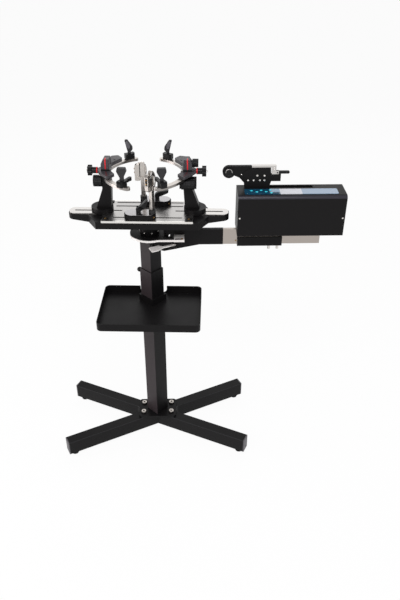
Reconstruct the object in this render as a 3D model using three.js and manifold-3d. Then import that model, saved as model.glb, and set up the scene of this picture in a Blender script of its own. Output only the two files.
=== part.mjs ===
// Racket stringing machine on a crossed-leg stand, in millimetres with +Z up.
// +X runs along the arm to the tension head and +Y points away from the user.
// Heights count from the floor, and other places from the column's own axis.

import * as THREE from "three";
import { mergeVertices } from "three/addons/utils/BufferGeometryUtils.js";
import Module from "manifold-3d";

const wasm = await Module();
wasm.setup();

// Clearances and facet counts that all pieces share
const seat = 0.3; // gap between two pieces that touch, turn or slide
const over = 2; // overrun of every cut
const largeSides = 60;
const roundSides = 36;
const smallSides = 18;
const hexSides = 6;
const cornerSteps = 6;

// Crossed legs, their end caps and feet
const leg = { reach: 402, width: 38, height: 62.5, wall: 2.5, crotch: 25, boreStart: 46 };
const legAngle = THREE.MathUtils.degToRad(26);
const endCap = { thickness: 4, plug: 14, wall: 3 };
const foot = { radius: 15, height: 17, inset: 28 };
const footDomeShare = 0.6;
const footDomeSteps = 3;

// Plate that bolts the column to the legs
const basePlate = { length: 154, depth: 106, thickness: 9.4, corner: 12 };
const baseBolt = { spanX: 115, spanY: 55, radius: 7, height: 5.5, washer: 9.5, washerHeight: 1.6 };

// Two-stage square column, turned so that an edge faces the user
const column = { side: 60, wall: 3.5, top: 780, slide: 0.35, overlap: 260, innerWall: 2.5, lid: 8 };
const columnTurn = Math.PI / 4;
const heightPin = { drop: 34, stem: 4, ball: 9.5, reach: 67, boss: 8, bossLength: 12 };
const heightPinTurn = (Math.PI * 3) / 4;

// Tool tray round the column
const tray = { width: 367, front: 207, back: 51, drop: 110, rim: 30, sheet: 2.5, corner: 18 };
const trayCollar = { wall: 6, height: 27 };
const trayNotch = { half: 50, corner: 14 };
const trayScrew = { radius: 4, length: 9, head: 6, headLength: 3 };

// Silver rail and the black arm that plugs into it
const rail = { front: 26, back: 14, lift: 110, height: 58, start: 258, end: 599, wall: 2 };
const arm = { cover: 0.7, wall: 2, spigot: 60, boreStart: 120, slopeEnd: 175 };
const armRoot = { start: 14, drop: 26, lowStart: 50, lift: 8, rise: 26, end: 80, nose: 6 };
const brakeLug = { x: 84, y: 38, half: 10, thickness: 9, rise: 3, pin: 3.5, pinHeight: 9 };

// Brake disc with its spindle, steel band and lock lever
const disc = { radius: 70, rise: 32, thickness: 6, hub: 34, collar: 46, collarHeight: 10 };
const band = { thickness: 2.6, height: 7, startDeg: 205, endDeg: 294, barEnd: 119, barThickness: 2.2 };
const bandFoot = { start: 86, end: 122, thickness: 9 };
const discGuard = { start: 50, gap: 2.5 };
const brakeLever = { thickness: 3, strip: 10, neck: 40, width: 34, length: 88, heel: 8, corner: 4 };
const brakeLeverTurn = THREE.MathUtils.degToRad(204);

// Turntable body and its slotted silver deck
const deck = { rise: 30, sheet: 3, edge: 8, edgeWidth: 6, halfLength: 155, halfDepth: 84 };
const wing = { reach: 277, rootHalf: 31, tipHalf: 25, tipCorner: 18 };
const deckSlot = { width: 7, wingStart: 92, wingEnd: 257, railHalf: 118 };
const deckSlotRows = { rearOuter: 65, rearInner: 36, front: -54 };
const tableTurn = THREE.MathUtils.degToRad(-2.5);
const trayTurn = tableTurn;
const tableBody = { rise: 57, wingRise: 9, wall: 5, plate: 6, frontHalf: 174, shoulder: 207, lip: 2 };

// Towers at both ends of the deck, written for the right one and mirrored for the left one
const towerDisc = { centre: 160, radius: 38, height: 18 };
const towerPost = { footIn: 126, footOut: 177, headIn: 122, headOut: 152, headRise: 88, half: 18 };
const towerBoss = { start: 133, end: 144, half: 8 };
const sideArm = { rise: 133, thickness: 9, radius: 138, width: 18, tabIn: 122, tabOut: 160, tabHalf: 14 };
const sideArmSpread = THREE.MathUtils.degToRad(68);
const sideArmTravel = { out: 3, in: 12 };
const rightArmShift = 10;
const headSupport = { thickness: 9, lugEnd: 165.2, lugHalf: 10 };
const headSupportTravel = { out: 10, in: 4 };
const supportWall = { inner: 122, outer: 151, front: 18, back: 30, lean: 3, backLean: 10, rise: 48 };
const supportWallTop = { inner: 124, outer: 140, kneeShare: 0.6 };
const lobe = { rootX: 124, rootY: 8, innerX: 103, innerY: 42, tipX: 125, tipY: 68, outerX: 150, outerY: 36 };
const beakPlan = {
  outerX: 128, outerY: 80, tipX: 106, tipY: 86, innerX: 89, innerY: 62, rootX: 118, rootY: 20,
};
const lobeCorner = 6;
const supportBeak = { rise: 12, thickness: 13, holeX: 113, holeY: 42, hole: 3.5 };
const screw = { radius: 3, start: 130, end: 203 };
const screwWasher = { start: 165.5, thickness: 3, radius: 11 };
const starKnob = { hub: 10.5, start: 184, end: 198, radius: 15.5, lobe: 2.5, lobes: 6, pointsPerLobe: 6 };
const sideKnob = { radius: 19.5, length: 28, drop: 20, offset: -8, stub: 5, stubLength: 10 };
const frontDrum = {
  radius: 17.5, start: 116, end: 160, lug: 5.7, pin: 5, y: -36.5, drop: 18, lugDrop: 12, back: 6,
};
const lockKnob = { radius: 14, length: 20, y: 14, rise: 170 };

// Four paddle supports on the side arms
const paddleBlock = { height: 19, bevel: 6 };
const frontBlock = { radial: 137, inward: 14, outward: 19, half: 12, handle: 32 };
const rearBlock = { radial: 145, inward: 12, outward: 12, half: 17, handle: 0 };
const blockHandle = { half: 6, low: 5, high: 16, waist: 4 };
const paddleBlockTurn = THREE.MathUtils.degToRad(60);
const paddle = { height: 43, top: 32, neck: 12, thickness: 12, pin: 4, pinDepth: 10, corner: 6 };
const paddleTurnDegrees = 5;
const leafPaddle = { height: 46, stem: 5, bulge: 12, bulgeRise: 17, top: 5, tip: 15, thickness: 11, tipHalf: 3 };

// Two string clamps, the rear one turned half round from the front one
const clampBase = { length: 108, radius: 27, height: 17, step: 3, x: -25, y: -50, rearX: 20, rearY: 61 };
const clampPost = { inset: 12, collar: 12, collarHeight: 12, width: 15, depth: 12, peg: 7 };
const clampStems = { front: 84, rear: 70 };
const clampHeadTurns = { frontDeg: 60, rearDeg: 0 };
const clampHead = {
  height: 66, jawHeight: 61, jawWidth: 18, gap: 1.6, depth: 14, cheek: 3, pin: 3, pinRise: 9,
};
const clampLever = { length: 46, height: 16, half: 7, blade: 12, pivot: 3.5, ear: 4, rootX: 47, rise: 13 };
const clampLeverTurns = { frontDeg: 134, rearDeg: 24 };

// Tension head housing and what it holds
const housing = { start: 302, length: 363, front: 80, back: 20, height: 146.7, sheet: 2.5, fold: 13.6 };
const housingBackFold = 4;
const housingSlot = { start: 333, end: 561, half: 10.5 };
const controlPanel = { start: 325, end: 638, front: 64, back: 22, thickness: 1.5, corner: 4 };
const railClamp = { start: 308, end: 466, wall: 4.7, floor: 5.7, frontHeight: 28, screw: 5, screwDrop: 16 };
const railClampScrews = { first: 422, second: 452 };
const track = { start: 312, end: 652, half: 14, wall: 3, drop: 39, floor: 4 };
const chain = { height: 10, half: 5, link: 12, waist: 1.5, inset: 4 };
const motor = { radius: 27, start: 480, end: 610, y: 40, rise: 36, footHalf: 20, footWall: 6 };
const inlet = { width: 48, height: 28, depth: 14, flange: 4, flangeDepth: 2, fromEnd: 65, rise: 34 };

// Gripper that rides over the housing
const gripPlate = { left: 327, right: 413, kneeRise: 58 };
const gripPlateLeft = { upper: 322, top: 349, waistRise: 18, shoulder: 8 };
const gripBody = { front: -12, back: 1, relief: 1.5 };
const gripPlateRight = { bulge: 416, bulgeRise: 24, lowRise: 13 };
const gripTopRise = 73.3;
const gripNose = { x: 273.5, rise: 57, radius: 21.3, cheek: 3, cap: 17, capDepth: 1.5 };
const gripArm = { undersideX: 291, undersideRise: 45, sagX: 309, sagRise: 37, rootX: 326, rootRise: 18 };
const gripNeck = { start: 342, end: 402, half: 8 };
const gripRear = { end: 448, bottomRise: 24, topRise: 49 };
const noseRoller = { radius: 16, pin: 4, groove: 2 };
const jaw = { start: 349.6, barEnd: 427, top: 80, blockStart: 416.6, blockEnd: 431, ear: 9 };
const jawEar = { thickness: 2.4, hole: 2.5, radius: 5 };
const gripLever = { reach: 46, thickness: 9, tip: 4.5, rise: 54.5 };

// Finishes, one new material for each mesh
const finishes = {
  blackPaint: { color: 0x1d1c1c, roughness: 0.5, metalness: 0.3 },
  blackPlastic: { color: 0x1a1a1b, roughness: 0.45, metalness: 0 },
  greyCap: { color: 0x3b3b3c, roughness: 0.6, metalness: 0 },
  rubber: { color: 0x161616, roughness: 0.85, metalness: 0 },
  greyPad: { color: 0x57545a, roughness: 0.6, metalness: 0 },
  steel: { color: 0xb9b4ae, roughness: 0.35, metalness: 1 },
  silver: { color: 0xd6d2cd, roughness: 0.3, metalness: 1 },
  panelBlue: { color: 0x2f6f93, roughness: 0.15, metalness: 0 },
};

// Heights that follow from the sizes above, those over the column counted from its top
const legTop = foot.height + leg.height;
const plateBottom = legTop + seat;
const plateTop = plateBottom + basePlate.thickness;
const pinLevel = column.top - heightPin.drop;
const trayTop = column.top - tray.drop;
const railBottom = column.top + rail.lift;
const armRootBottom = railBottom - armRoot.drop;
const armRootTop = railBottom + armRoot.rise;
const lugLevel = railBottom + brakeLug.rise;
const discBottom = railBottom + disc.rise;
const bodyBottom = discBottom + tableBody.rise;
const deckTop = bodyBottom + deck.rise;
const innerSide = column.side - 2 * (column.wall + column.slide);
const innerTop = discBottom - seat;
const railTop = railBottom + rail.height;
const armFront = -rail.front - arm.cover;
const armBack = arm.cover - rail.back;
const spigotFront = rail.wall + seat - rail.front;
const spigotBack = -rail.back - rail.wall - seat;
const spigotBottom = railBottom + rail.wall + seat;
const spigotTop = railTop - rail.wall - seat;
const bodyTop = deckTop - deck.sheet - seat;
const towerFloor = deckTop + seat;
const discTop = towerFloor + towerDisc.height;
const armLevel = deckTop + sideArm.rise;
const armDeck = armLevel + sideArm.thickness;
const supportLevel = armDeck + 2 * seat;
const supportDeck = supportLevel + headSupport.thickness;
const screwLevel = (supportLevel + supportDeck) / 2;
const blockFloor = armDeck + seat;
const blockTop = blockFloor + paddleBlock.height;
const clampFloor = deckTop + seat;
const clampDeck = clampFloor + clampBase.height;
const housingBottom = railTop + seat;
const housingTop = housingBottom + housing.height;
const trackBottom = housingTop - track.drop;
const gripFloor = housingTop + seat;
const inletX = housing.start + housing.length - inlet.fromEnd;

// A closed three.js geometry as a solid that can be joined and cut
function solidOf(geometry) {
  const bare = geometry.clone();
  bare.deleteAttribute("normal");
  bare.deleteAttribute("uv");
  const merged = mergeVertices(bare);
  return new wasm.Manifold(
    new wasm.Mesh({
      numProp: 3,
      vertProperties: new Float32Array(merged.attributes.position.array),
      triVerts: new Uint32Array(merged.index.array),
    }),
  );
}

// A solid as a three.js geometry again
function geometryOf(solid) {
  const mesh = solid.getMesh();
  const places = new Float32Array(mesh.numVert * 3);
  for (let i = 0; i < mesh.numVert; i++) {
    places.set(mesh.vertProperties.subarray(i * mesh.numProp, i * mesh.numProp + 3), i * 3);
  }
  const geometry = new THREE.BufferGeometry();
  geometry.setAttribute("position", new THREE.BufferAttribute(places, 3));
  geometry.setIndex(new THREE.BufferAttribute(new Uint32Array(mesh.triVerts), 1));
  geometry.computeVertexNormals();
  return geometry;
}

// One named piece of the machine
function piece(name, finish, solid) {
  const mesh = new THREE.Mesh(geometryOf(solid), new THREE.MeshStandardMaterial(finishes[finish]));
  mesh.name = name;
  return mesh;
}

function join(first, ...others) {
  return others.reduce((sum, other) => sum.add(other), first);
}

function cut(first, ...others) {
  return others.reduce((rest, other) => rest.subtract(other), first);
}

// A box given by its limits along X, Y and Z
function box([x0, x1], [y0, y1], [z0, z1]) {
  const shape = new THREE.BoxGeometry(x1 - x0, y1 - y0, z1 - z0);
  shape.translate((x0 + x1) / 2, (y0 + y1) / 2, (z0 + z1) / 2);
  return solidOf(shape);
}

// A rod along one axis, from one place to another, with its centre in the other two axes
function rod(axis, radius, [from, to], [a, b] = [0, 0], sides = roundSides) {
  const shape = new THREE.CylinderGeometry(radius, radius, to - from, sides);
  const middle = (from + to) / 2;
  if (axis === "x") shape.rotateZ(-Math.PI / 2).translate(middle, a, b);
  if (axis === "y") shape.translate(a, middle, b);
  if (axis === "z") shape.rotateX(Math.PI / 2).translate(a, b, middle);
  return solidOf(shape);
}

// A closed outline of corners [x, y, radius], whose corners with a radius are arcs
function outline(corners) {
  const count = corners.length;
  const points = [];
  corners.forEach(([x, y, radius = 0], i) => {
    const here = new THREE.Vector2(x, y);
    if (radius === 0) {
      points.push(here);
      return;
    }
    const [px, py] = corners[(i + count - 1) % count];
    const [nx, ny] = corners[(i + 1) % count];
    const back = new THREE.Vector2(px, py).sub(here).normalize();
    const ahead = new THREE.Vector2(nx, ny).sub(here).normalize();
    const half = Math.acos(back.dot(ahead)) / 2;
    const centre = back.clone().add(ahead).normalize().multiplyScalar(radius / Math.sin(half)).add(here);
    const first = here.clone().addScaledVector(back, radius / Math.tan(half)).sub(centre);
    const last = here.clone().addScaledVector(ahead, radius / Math.tan(half)).sub(centre);
    const sweep = Math.atan2(first.cross(last), first.dot(last));
    for (let step = 0; step <= cornerSteps; step++) {
      const spoke = first.clone().rotateAround(new THREE.Vector2(), (sweep * step) / cornerSteps);
      points.push(spoke.add(centre));
    }
  });
  return new THREE.Shape(points);
}

function rectangle(x0, x1, y0, y1, radius = 0) {
  return [[x0, y0, radius], [x1, y0, radius], [x1, y1, radius], [x0, y1, radius]];
}

function extruded(corners, depth) {
  return new THREE.ExtrudeGeometry(outline(corners), { depth, bevelEnabled: false });
}

// Plan outlines pulled up along Z
function plan(corners, [z0, z1]) {
  return solidOf(extruded(corners, z1 - z0).translate(0, 0, z0));
}

// Outlines in X and Z pulled along Y
function profileY(corners, [y0, y1]) {
  return solidOf(extruded(corners, y1 - y0).rotateX(Math.PI / 2).translate(0, y1, 0));
}

// Outlines in Y and Z pulled along X
function profileX(corners, [x0, x1]) {
  const turn = new THREE.Matrix4().makeBasis(
    new THREE.Vector3(0, 1, 0),
    new THREE.Vector3(0, 0, 1),
    new THREE.Vector3(1, 0, 0),
  );
  return solidOf(extruded(corners, x1 - x0).applyMatrix4(turn).translate(x0, 0, 0));
}

// A solid turned about the column's axis
function turned(solid, angle) {
  return solidOf(geometryOf(solid).rotateZ(angle));
}

function moved(solid, x, y, z) {
  return solidOf(geometryOf(solid).translate(x, y, z));
}

function squareBar(side, [z0, z1]) {
  return turned(box([-side / 2, side / 2], [-side / 2, side / 2], [z0, z1]), columnTurn);
}

// Both leg bars cross at the centre, with an arc in each narrow angle between them
function crossFrame() {
  const tubeEnd = leg.reach - endCap.thickness - seat;
  const half = leg.width / 2;
  const bar = box([-tubeEnd, tubeEnd], [-half, half], [foot.height, legTop]);
  const innerHalf = half - leg.wall;
  const bore = box([leg.boreStart, tubeEnd + over], [-innerHalf, innerHalf],
    [foot.height + leg.wall, legTop - leg.wall]);
  const apex = half / Math.sin(legAngle);
  const run = leg.crotch / Math.tan(legAngle);
  const cornerX = apex + run * Math.cos(legAngle);
  const cornerY = run * Math.sin(legAngle);
  const arc = rod("z", leg.crotch, [foot.height - over, legTop + over],
    [apex + leg.crotch / Math.sin(legAngle), 0], largeSides);
  const web = cut(plan([[0, 0], [cornerX, -cornerY], [cornerX, cornerY]], [foot.height, legTop]), arc);
  const angles = legAngles();
  const bars = join(turned(bar, legAngle), turned(bar, -legAngle), web, turned(web, Math.PI));
  return cut(bars, ...angles.map(([, angle]) => turned(bore, angle)));
}

function legAngles() {
  return [
    ["front_left", Math.PI + legAngle],
    ["front_right", -legAngle],
    ["rear_right", legAngle],
    ["rear_left", Math.PI - legAngle],
  ];
}

// Cap with a hollow plug that pushes into the leg's open end
function legCap() {
  const half = leg.width / 2;
  const plugHalf = half - leg.wall - seat;
  const plateStart = leg.reach - endCap.thickness;
  const plugStart = plateStart - endCap.plug;
  const low = foot.height + leg.wall + seat;
  const high = legTop - leg.wall - seat;
  const hollow = box([plugStart - over, plateStart], [endCap.wall - plugHalf, plugHalf - endCap.wall],
    [low + endCap.wall, high - endCap.wall]);
  const plate = box([plateStart, leg.reach], [-half, half], [foot.height, legTop]);
  const plug = cut(box([plugStart, plateStart], [-plugHalf, plugHalf], [low, high]), hollow);
  return join(plate, plug);
}

function rubberFoot() {
  const top = foot.height - seat;
  const dome = foot.radius * footDomeShare;
  const profile = [
    new THREE.Vector2(0, 0),
    new THREE.Vector2(dome, 0),
    ...Array.from({ length: footDomeSteps }, (_, step) => {
      const angle = (Math.PI / 2) * ((step + 1) / footDomeSteps);
      const bulge = (foot.radius - dome) * Math.sin(angle);
      return new THREE.Vector2(dome + bulge, (foot.radius - dome) * (1 - Math.cos(angle)));
    }),
    new THREE.Vector2(foot.radius, top),
    new THREE.Vector2(0, top),
  ];
  const shape = new THREE.LatheGeometry(profile, roundSides);
  return solidOf(shape.rotateX(Math.PI / 2).translate(leg.reach - foot.inset, 0, 0));
}

function stand() {
  const group = new THREE.Group();
  group.add(piece("cross_legs", "blackPaint", crossFrame()));
  legAngles().forEach(([corner, angle]) => {
    group.add(piece(`${corner}_leg_cap`, "greyCap", turned(legCap(), angle)));
    group.add(piece(`${corner}_foot`, "rubber", turned(rubberFoot(), angle)));
  });
  group.add(piece("base_plate", "blackPaint", boltedPlate()));
  return group;
}

// Plate with the washers and heads of its four bolts
function boltedPlate() {
  const x = basePlate.length / 2;
  const y = basePlate.depth / 2;
  const washerTop = plateTop + baseBolt.washerHeight;
  const bolts = [-1, 1].flatMap((sx) => [-1, 1].flatMap((sy) => {
    const place = [(sx * baseBolt.spanX) / 2, (sy * baseBolt.spanY) / 2];
    return [
      rod("z", baseBolt.washer, [plateTop - seat, washerTop], place, smallSides),
      rod("z", baseBolt.radius, [plateTop - seat, washerTop + baseBolt.height], place, hexSides),
    ];
  }));
  return join(plan(rectangle(-x, x, -y, y, basePlate.corner), [plateBottom, plateTop]), ...bolts);
}

function outerColumn() {
  const bottom = plateTop + seat;
  const bore = column.side - 2 * column.wall;
  const face = column.side / 2;
  const place = [0, pinLevel];
  const bossRun = [face - column.wall / 2, face + heightPin.bossLength];
  const boss = rod("x", heightPin.boss, bossRun, place, smallSides);
  const hole = rod("x", heightPin.stem + seat, [0, face + heightPin.bossLength + over], place, smallSides);
  const tube = squareBar(column.side, [bottom, column.top]);
  const hollow = squareBar(bore, [bottom - over, column.top + over]);
  return cut(join(tube, turned(boss, heightPinTurn)), hollow, turned(hole, heightPinTurn));
}

function innerColumn() {
  const bottom = column.top - column.overlap;
  const bore = innerSide - 2 * column.innerWall;
  const tube = squareBar(innerSide, [bottom, innerTop]);
  return cut(tube, squareBar(bore, [bottom - over, innerTop - column.lid]));
}

// Ball-ended pin that presses on the inner column
function ballPin() {
  const place = [0, pinLevel];
  const stem = rod("x", heightPin.stem, [innerSide / 2 + seat, heightPin.reach], place, smallSides);
  const ball = new THREE.SphereGeometry(heightPin.ball, smallSides, smallSides / 2);
  ball.translate(heightPin.reach, 0, pinLevel);
  return turned(join(stem, solidOf(ball)), heightPinTurn);
}

function columnPieces() {
  const group = new THREE.Group();
  group.add(piece("outer_column", "blackPaint", outerColumn()));
  group.add(piece("inner_column", "blackPaint", innerColumn()));
  group.add(piece("height_pin", "blackPlastic", ballPin()));
  return group;
}

// Pressed tray with a notched back rim and a square collar round the column
function toolTray() {
  const half = tray.width / 2;
  const floor = trayTop - tray.rim;
  const inner = half - tray.sheet;
  const shell = cut(
    plan(rectangle(-half, half, -tray.front, tray.back, tray.corner), [floor, trayTop]),
    plan(rectangle(-inner, inner, tray.sheet - tray.front, tray.back - tray.sheet, tray.corner - tray.sheet),
      [floor + tray.sheet, trayTop + over]),
  );
  const notchBottom = floor + tray.sheet;
  const notch = profileY([
    [-trayNotch.half, notchBottom, trayNotch.corner],
    [trayNotch.half, notchBottom, trayNotch.corner],
    [trayNotch.half, trayTop + over],
    [-trayNotch.half, trayTop + over],
  ], [tray.back - tray.sheet - over, tray.back + over]);
  const bore = column.side + 2 * seat;
  const collarTop = floor + trayCollar.height;
  const collar = squareBar(bore + 2 * trayCollar.wall, [floor, collarTop]);
  const screwLevel = floor + trayCollar.height / 2 + tray.sheet;
  const screwStart = bore / 2 + trayCollar.wall / 2;
  const screwEnd = bore / 2 + trayCollar.wall + trayScrew.length;
  const place = [0, screwLevel];
  const clampScrew = turned(join(
    rod("x", trayScrew.radius, [screwStart, screwEnd], place, smallSides),
    rod("x", trayScrew.head, [screwEnd, screwEnd + trayScrew.headLength], place, smallSides),
  ), heightPinTurn);
  const sheet = turned(cut(shell, notch), trayTurn);
  return cut(join(sheet, collar, clampScrew), squareBar(bore, [floor - over, collarTop + over]));
}

// Arm from the column's face to the rail, with its spigot and the lug of the brake lever
function armTube() {
  const root = armRoot;
  const bottom = railBottom - arm.cover;
  const top = railTop + arm.cover;
  const spigotEnd = rail.start + arm.spigot;
  const body = profileY([
    [root.start, armRootBottom + root.lift],
    [root.lowStart, armRootBottom, root.nose],
    [arm.slopeEnd, bottom],
    [rail.start - seat, bottom],
    [rail.start - seat, top],
    [root.end, top],
    [root.end, armRootTop],
    [root.start, armRootTop],
  ], [armFront, armBack]);
  const spigot = box([rail.start - over, spigotEnd], [spigotFront, spigotBack], [spigotBottom, spigotTop]);
  const bore = box([arm.boreStart, spigotEnd + over], [spigotFront + arm.wall, spigotBack - arm.wall],
    [spigotBottom + arm.wall, spigotTop - arm.wall]);
  const socket = squareBar(innerSide + 2 * seat, [armRootBottom - over, armRootTop + over]);
  const guard = box([discGuard.start, root.end + over], [armFront, armBack],
    [discBottom + disc.thickness + discGuard.gap, top]);
  const lugTop = lugLevel - seat;
  const lugFloor = lugTop - brakeLug.thickness;
  const lug = box([brakeLug.x - brakeLug.half, brakeLug.x + brakeLug.half],
    [-brakeLug.y - brakeLug.half, armFront + over], [lugFloor, lugTop]);
  const pinTop = lugLevel + brakeLever.thickness + brakeLug.pinHeight;
  const pin = rod("z", brakeLug.pin, [lugFloor + over, pinTop], [brakeLug.x, -brakeLug.y], smallSides);
  return join(cut(join(body, spigot), bore, socket), guard, lug, pin);
}

function railTube() {
  const { start, end, front, back, wall } = rail;
  return cut(
    box([start, end], [-front, -back], [railBottom, railTop]),
    box([start - over, end + over], [wall - front, -back - wall], [railBottom + wall, railTop - wall]),
  );
}

// Steel band round the front of the disc, with a bar to its foot on the arm
function brakeBand() {
  const inner = disc.radius + seat;
  const outer = inner + band.thickness;
  const bottom = discBottom + (disc.thickness - band.height) / 2;
  const span = [bottom, bottom + band.height];
  const shape = new THREE.Shape();
  const start = THREE.MathUtils.degToRad(band.startDeg);
  const end = THREE.MathUtils.degToRad(band.endDeg);
  shape.absarc(0, 0, outer, start, end, false);
  shape.absarc(0, 0, inner, end, start, true);
  const settings = { depth: band.height, bevelEnabled: false, curveSegments: roundSides };
  const arc = new THREE.ExtrudeGeometry(shape, settings);
  const barStart = inner * Math.cos(end);
  const barY = outer * Math.sin(end);
  const bar = box([barStart, band.barEnd], [barY, barY + band.barThickness], span);
  const footBlock = box([bandFoot.start, bandFoot.end], [barY + band.thickness / 2, armFront - seat],
    [bottom + band.height - bandFoot.thickness, bottom + band.height]);
  return join(solidOf(arc.translate(0, 0, bottom)), bar, footBlock);
}

function brakePaddle() {
  const strip = brakeLever.strip / 2;
  const wide = brakeLever.width / 2;
  const neckEnd = brakeLever.neck + brakeLever.width / 4;
  const plate = plan([
    [-brakeLever.heel, -strip, brakeLever.corner],
    [brakeLever.neck, -strip],
    [neckEnd, -wide],
    [brakeLever.length, -wide, brakeLever.corner],
    [brakeLever.length, wide, brakeLever.corner],
    [neckEnd + wide, wide],
    [brakeLever.neck, strip],
    [-brakeLever.heel, strip, brakeLever.corner],
  ], [lugLevel, lugLevel + brakeLever.thickness]);
  const through = [lugLevel - over, lugLevel + brakeLever.thickness + over];
  const hole = rod("z", brakeLug.pin + seat, through, [0, 0], smallSides);
  return moved(turned(cut(plate, hole), brakeLeverTurn), brakeLug.x, -brakeLug.y, 0);
}

// Disc, hub and mounting collar turned in one piece
function brakeDisc() {
  const hubTop = bodyTop - tableBody.plate - seat;
  return join(
    rod("z", disc.radius, [discBottom, discBottom + disc.thickness], [0, 0], largeSides),
    rod("z", disc.hub, [discBottom, hubTop]),
    rod("z", disc.collar, [hubTop - disc.collarHeight, hubTop]),
  );
}

function wingCorners(reach, tipHalf, rootHalf, rootX) {
  return [
    [rootX, -rootHalf],
    [reach, -tipHalf, wing.tipCorner],
    [reach, tipHalf, wing.tipCorner],
    [rootX, rootHalf],
  ];
}

function mirroredX(corners) {
  return corners.map(([x, y, radius]) => [-x, -y, radius]);
}

// Open-bottomed body below the deck
function turntableBody() {
  const { frontHalf, shoulder, wall } = tableBody;
  const depth = deck.halfDepth + tableBody.lip;
  const shell = (inset, span) => {
    const root = wing.rootHalf - inset;
    const front = depth - inset;
    const reach = wing.reach - inset;
    const right = [
      [frontHalf - inset / 2, -front],
      [shoulder - inset, -root],
      [reach, inset - wing.tipHalf, wing.tipCorner - inset],
      [reach, wing.tipHalf - inset, wing.tipCorner - inset],
      [shoulder - inset, root],
      [frontHalf - inset / 2, front],
    ];
    return plan([...right, ...mirroredX(right)], span);
  };
  const body = cut(shell(0, [bodyBottom, bodyTop]), shell(wall, [bodyBottom - over, bodyTop - tableBody.plate]));
  const taper = profileY([
    [shoulder, bodyBottom],
    [shoulder, bodyBottom - over],
    [wing.reach + over, bodyBottom - over],
    [wing.reach + over, bodyBottom + tableBody.wingRise],
  ], [-wing.rootHalf - over, wing.rootHalf + over]);
  return cut(body, ...edgeBars(seat), taper, turned(taper, Math.PI));
}

// Thick front and rear edges of the deck, grown by a clearance where they cut the body
function edgeBars(grow) {
  const outerY = deck.halfDepth + grow + (grow > 0 ? tableBody.lip : 0);
  const innerY = deck.halfDepth - deck.edgeWidth - grow;
  const bottom = deckTop - deck.edge - grow;
  const top = grow > 0 ? deckTop : deckTop - deck.sheet / 2;
  const half = deck.halfLength + grow;
  const sides = [[-outerY, -innerY], [innerY, outerY]];
  return sides.map((side) => box([-half, half], side, [bottom, top]));
}

function slot(x0, x1, y) {
  const half = deckSlot.width / 2;
  return plan(rectangle(x0, x1, y - half, y + half, half - seat), [bodyTop - over, deckTop + over]);
}

function slottedDeck() {
  const span = [deckTop - deck.sheet, deckTop];
  const { halfLength, halfDepth } = deck;
  const tipHalf = wing.tipHalf - tableBody.lip;
  const rootHalf = wing.rootHalf - tableBody.lip;
  const right = wingCorners(wing.reach - tableBody.lip, tipHalf, rootHalf, 0);
  const sheet = join(
    box([-halfLength, halfLength], [-halfDepth, halfDepth], span),
    plan(right, span),
    turned(plan(right, span), Math.PI),
  );
  const rows = Object.values(deckSlotRows).map((y) => slot(-deckSlot.railHalf, deckSlot.railHalf, y));
  return cut(
    join(sheet, ...edgeBars(0)),
    slot(deckSlot.wingStart, deckSlot.wingEnd, 0),
    slot(-deckSlot.wingEnd, -deckSlot.wingStart, 0),
    ...rows,
  );
}

function brakeParts() {
  const group = new THREE.Group();
  group.add(piece("brake_band", "silver", brakeBand()));
  group.add(piece("brake_lever", "silver", brakePaddle()));
  return group;
}

// All that spins on the column
function turntable() {
  const group = new THREE.Group();
  group.rotation.z = tableTurn;
  group.add(piece("brake_disc", "steel", brakeDisc()));
  group.add(piece("turntable_body", "blackPaint", turntableBody()));
  group.add(piece("turntable_deck", "silver", slottedDeck()));
  group.add(towerSet("left", true));
  group.add(towerSet("right", false));
  group.add(piece("right_lock_knob", "blackPlastic", rightLockKnob()));
  const { x, y, rearX, rearY } = clampBase;
  group.add(stringClamp("front", x, y, 0, clampLeverTurns.frontDeg, clampHeadTurns.frontDeg));
  group.add(stringClamp("rear", rearX, rearY, Math.PI, clampLeverTurns.rearDeg, clampHeadTurns.rearDeg));
  return group;
}

// Cast tower, with a knob stub hole on the left one or a drum fork on the right one
function towerCasting(withFork) {
  const post = towerPost;
  const headTop = armLevel - seat;
  const headLevel = deckTop + post.headRise;
  const shaft = profileY([
    [post.footIn, discTop - seat],
    [post.footOut, discTop - seat],
    [post.headOut, headLevel],
    [post.headOut, headTop],
    [post.headIn, headTop],
    [post.headIn, headLevel],
  ], [-post.half, post.half]);
  const boss = box([towerBoss.start, towerBoss.end], [-towerBoss.half, towerBoss.half],
    [headTop - over, supportDeck - 2 * seat]);
  const holeRun = [towerBoss.start - over, towerBoss.end + over];
  const screwHole = rod("x", screw.radius + seat, holeRun, [0, screwLevel], smallSides);
  const disk = rod("z", towerDisc.radius, [towerFloor, discTop], [towerDisc.centre, 0], largeSides);
  const casting = cut(join(disk, shaft, boss), screwHole);
  if (!withFork) {
    const stubStart = post.headOut - sideKnob.stubLength - seat;
    const hole = rod("x", sideKnob.stub + seat, [stubStart, post.headOut + over],
      [sideKnob.offset, sideKnobLevel()], smallSides);
    return cut(casting, hole);
  }
  return cut(join(casting, ...drumFork()), drumHole());
}

function sideKnobLevel() {
  return armLevel - sideKnob.drop;
}

function drumPlace() {
  return [frontDrum.y, armLevel - frontDrum.drop];
}

// Back plate and two lugs that carry the drum in front of the right tower
function drumFork() {
  const [y, z] = drumPlace();
  const { start, end, lug, lugDrop, back } = frontDrum;
  const span = [z - lugDrop, armLevel - seat];
  const front = y - frontDrum.pin * 2;
  const left = start - seat;
  const right = end + seat;
  return [
    box([left - lug, right + lug], [-towerPost.half, back - towerPost.half], span),
    box([left - lug, left], [front, back - towerPost.half], span),
    box([right, right + lug], [front, back - towerPost.half], span),
  ];
}

function drumHole() {
  const { start, end, lug, pin } = frontDrum;
  return rod("x", pin + seat, [start - lug - over, end + lug + over], drumPlace(), smallSides);
}

// Ribbed drum on its pin
function drum() {
  const { start, end, lug, pin, radius } = frontDrum;
  return join(
    rod("x", radius, [start, end], drumPlace(), largeSides),
    rod("x", pin, [start - lug, end + lug], drumPlace(), smallSides),
  );
}

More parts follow.
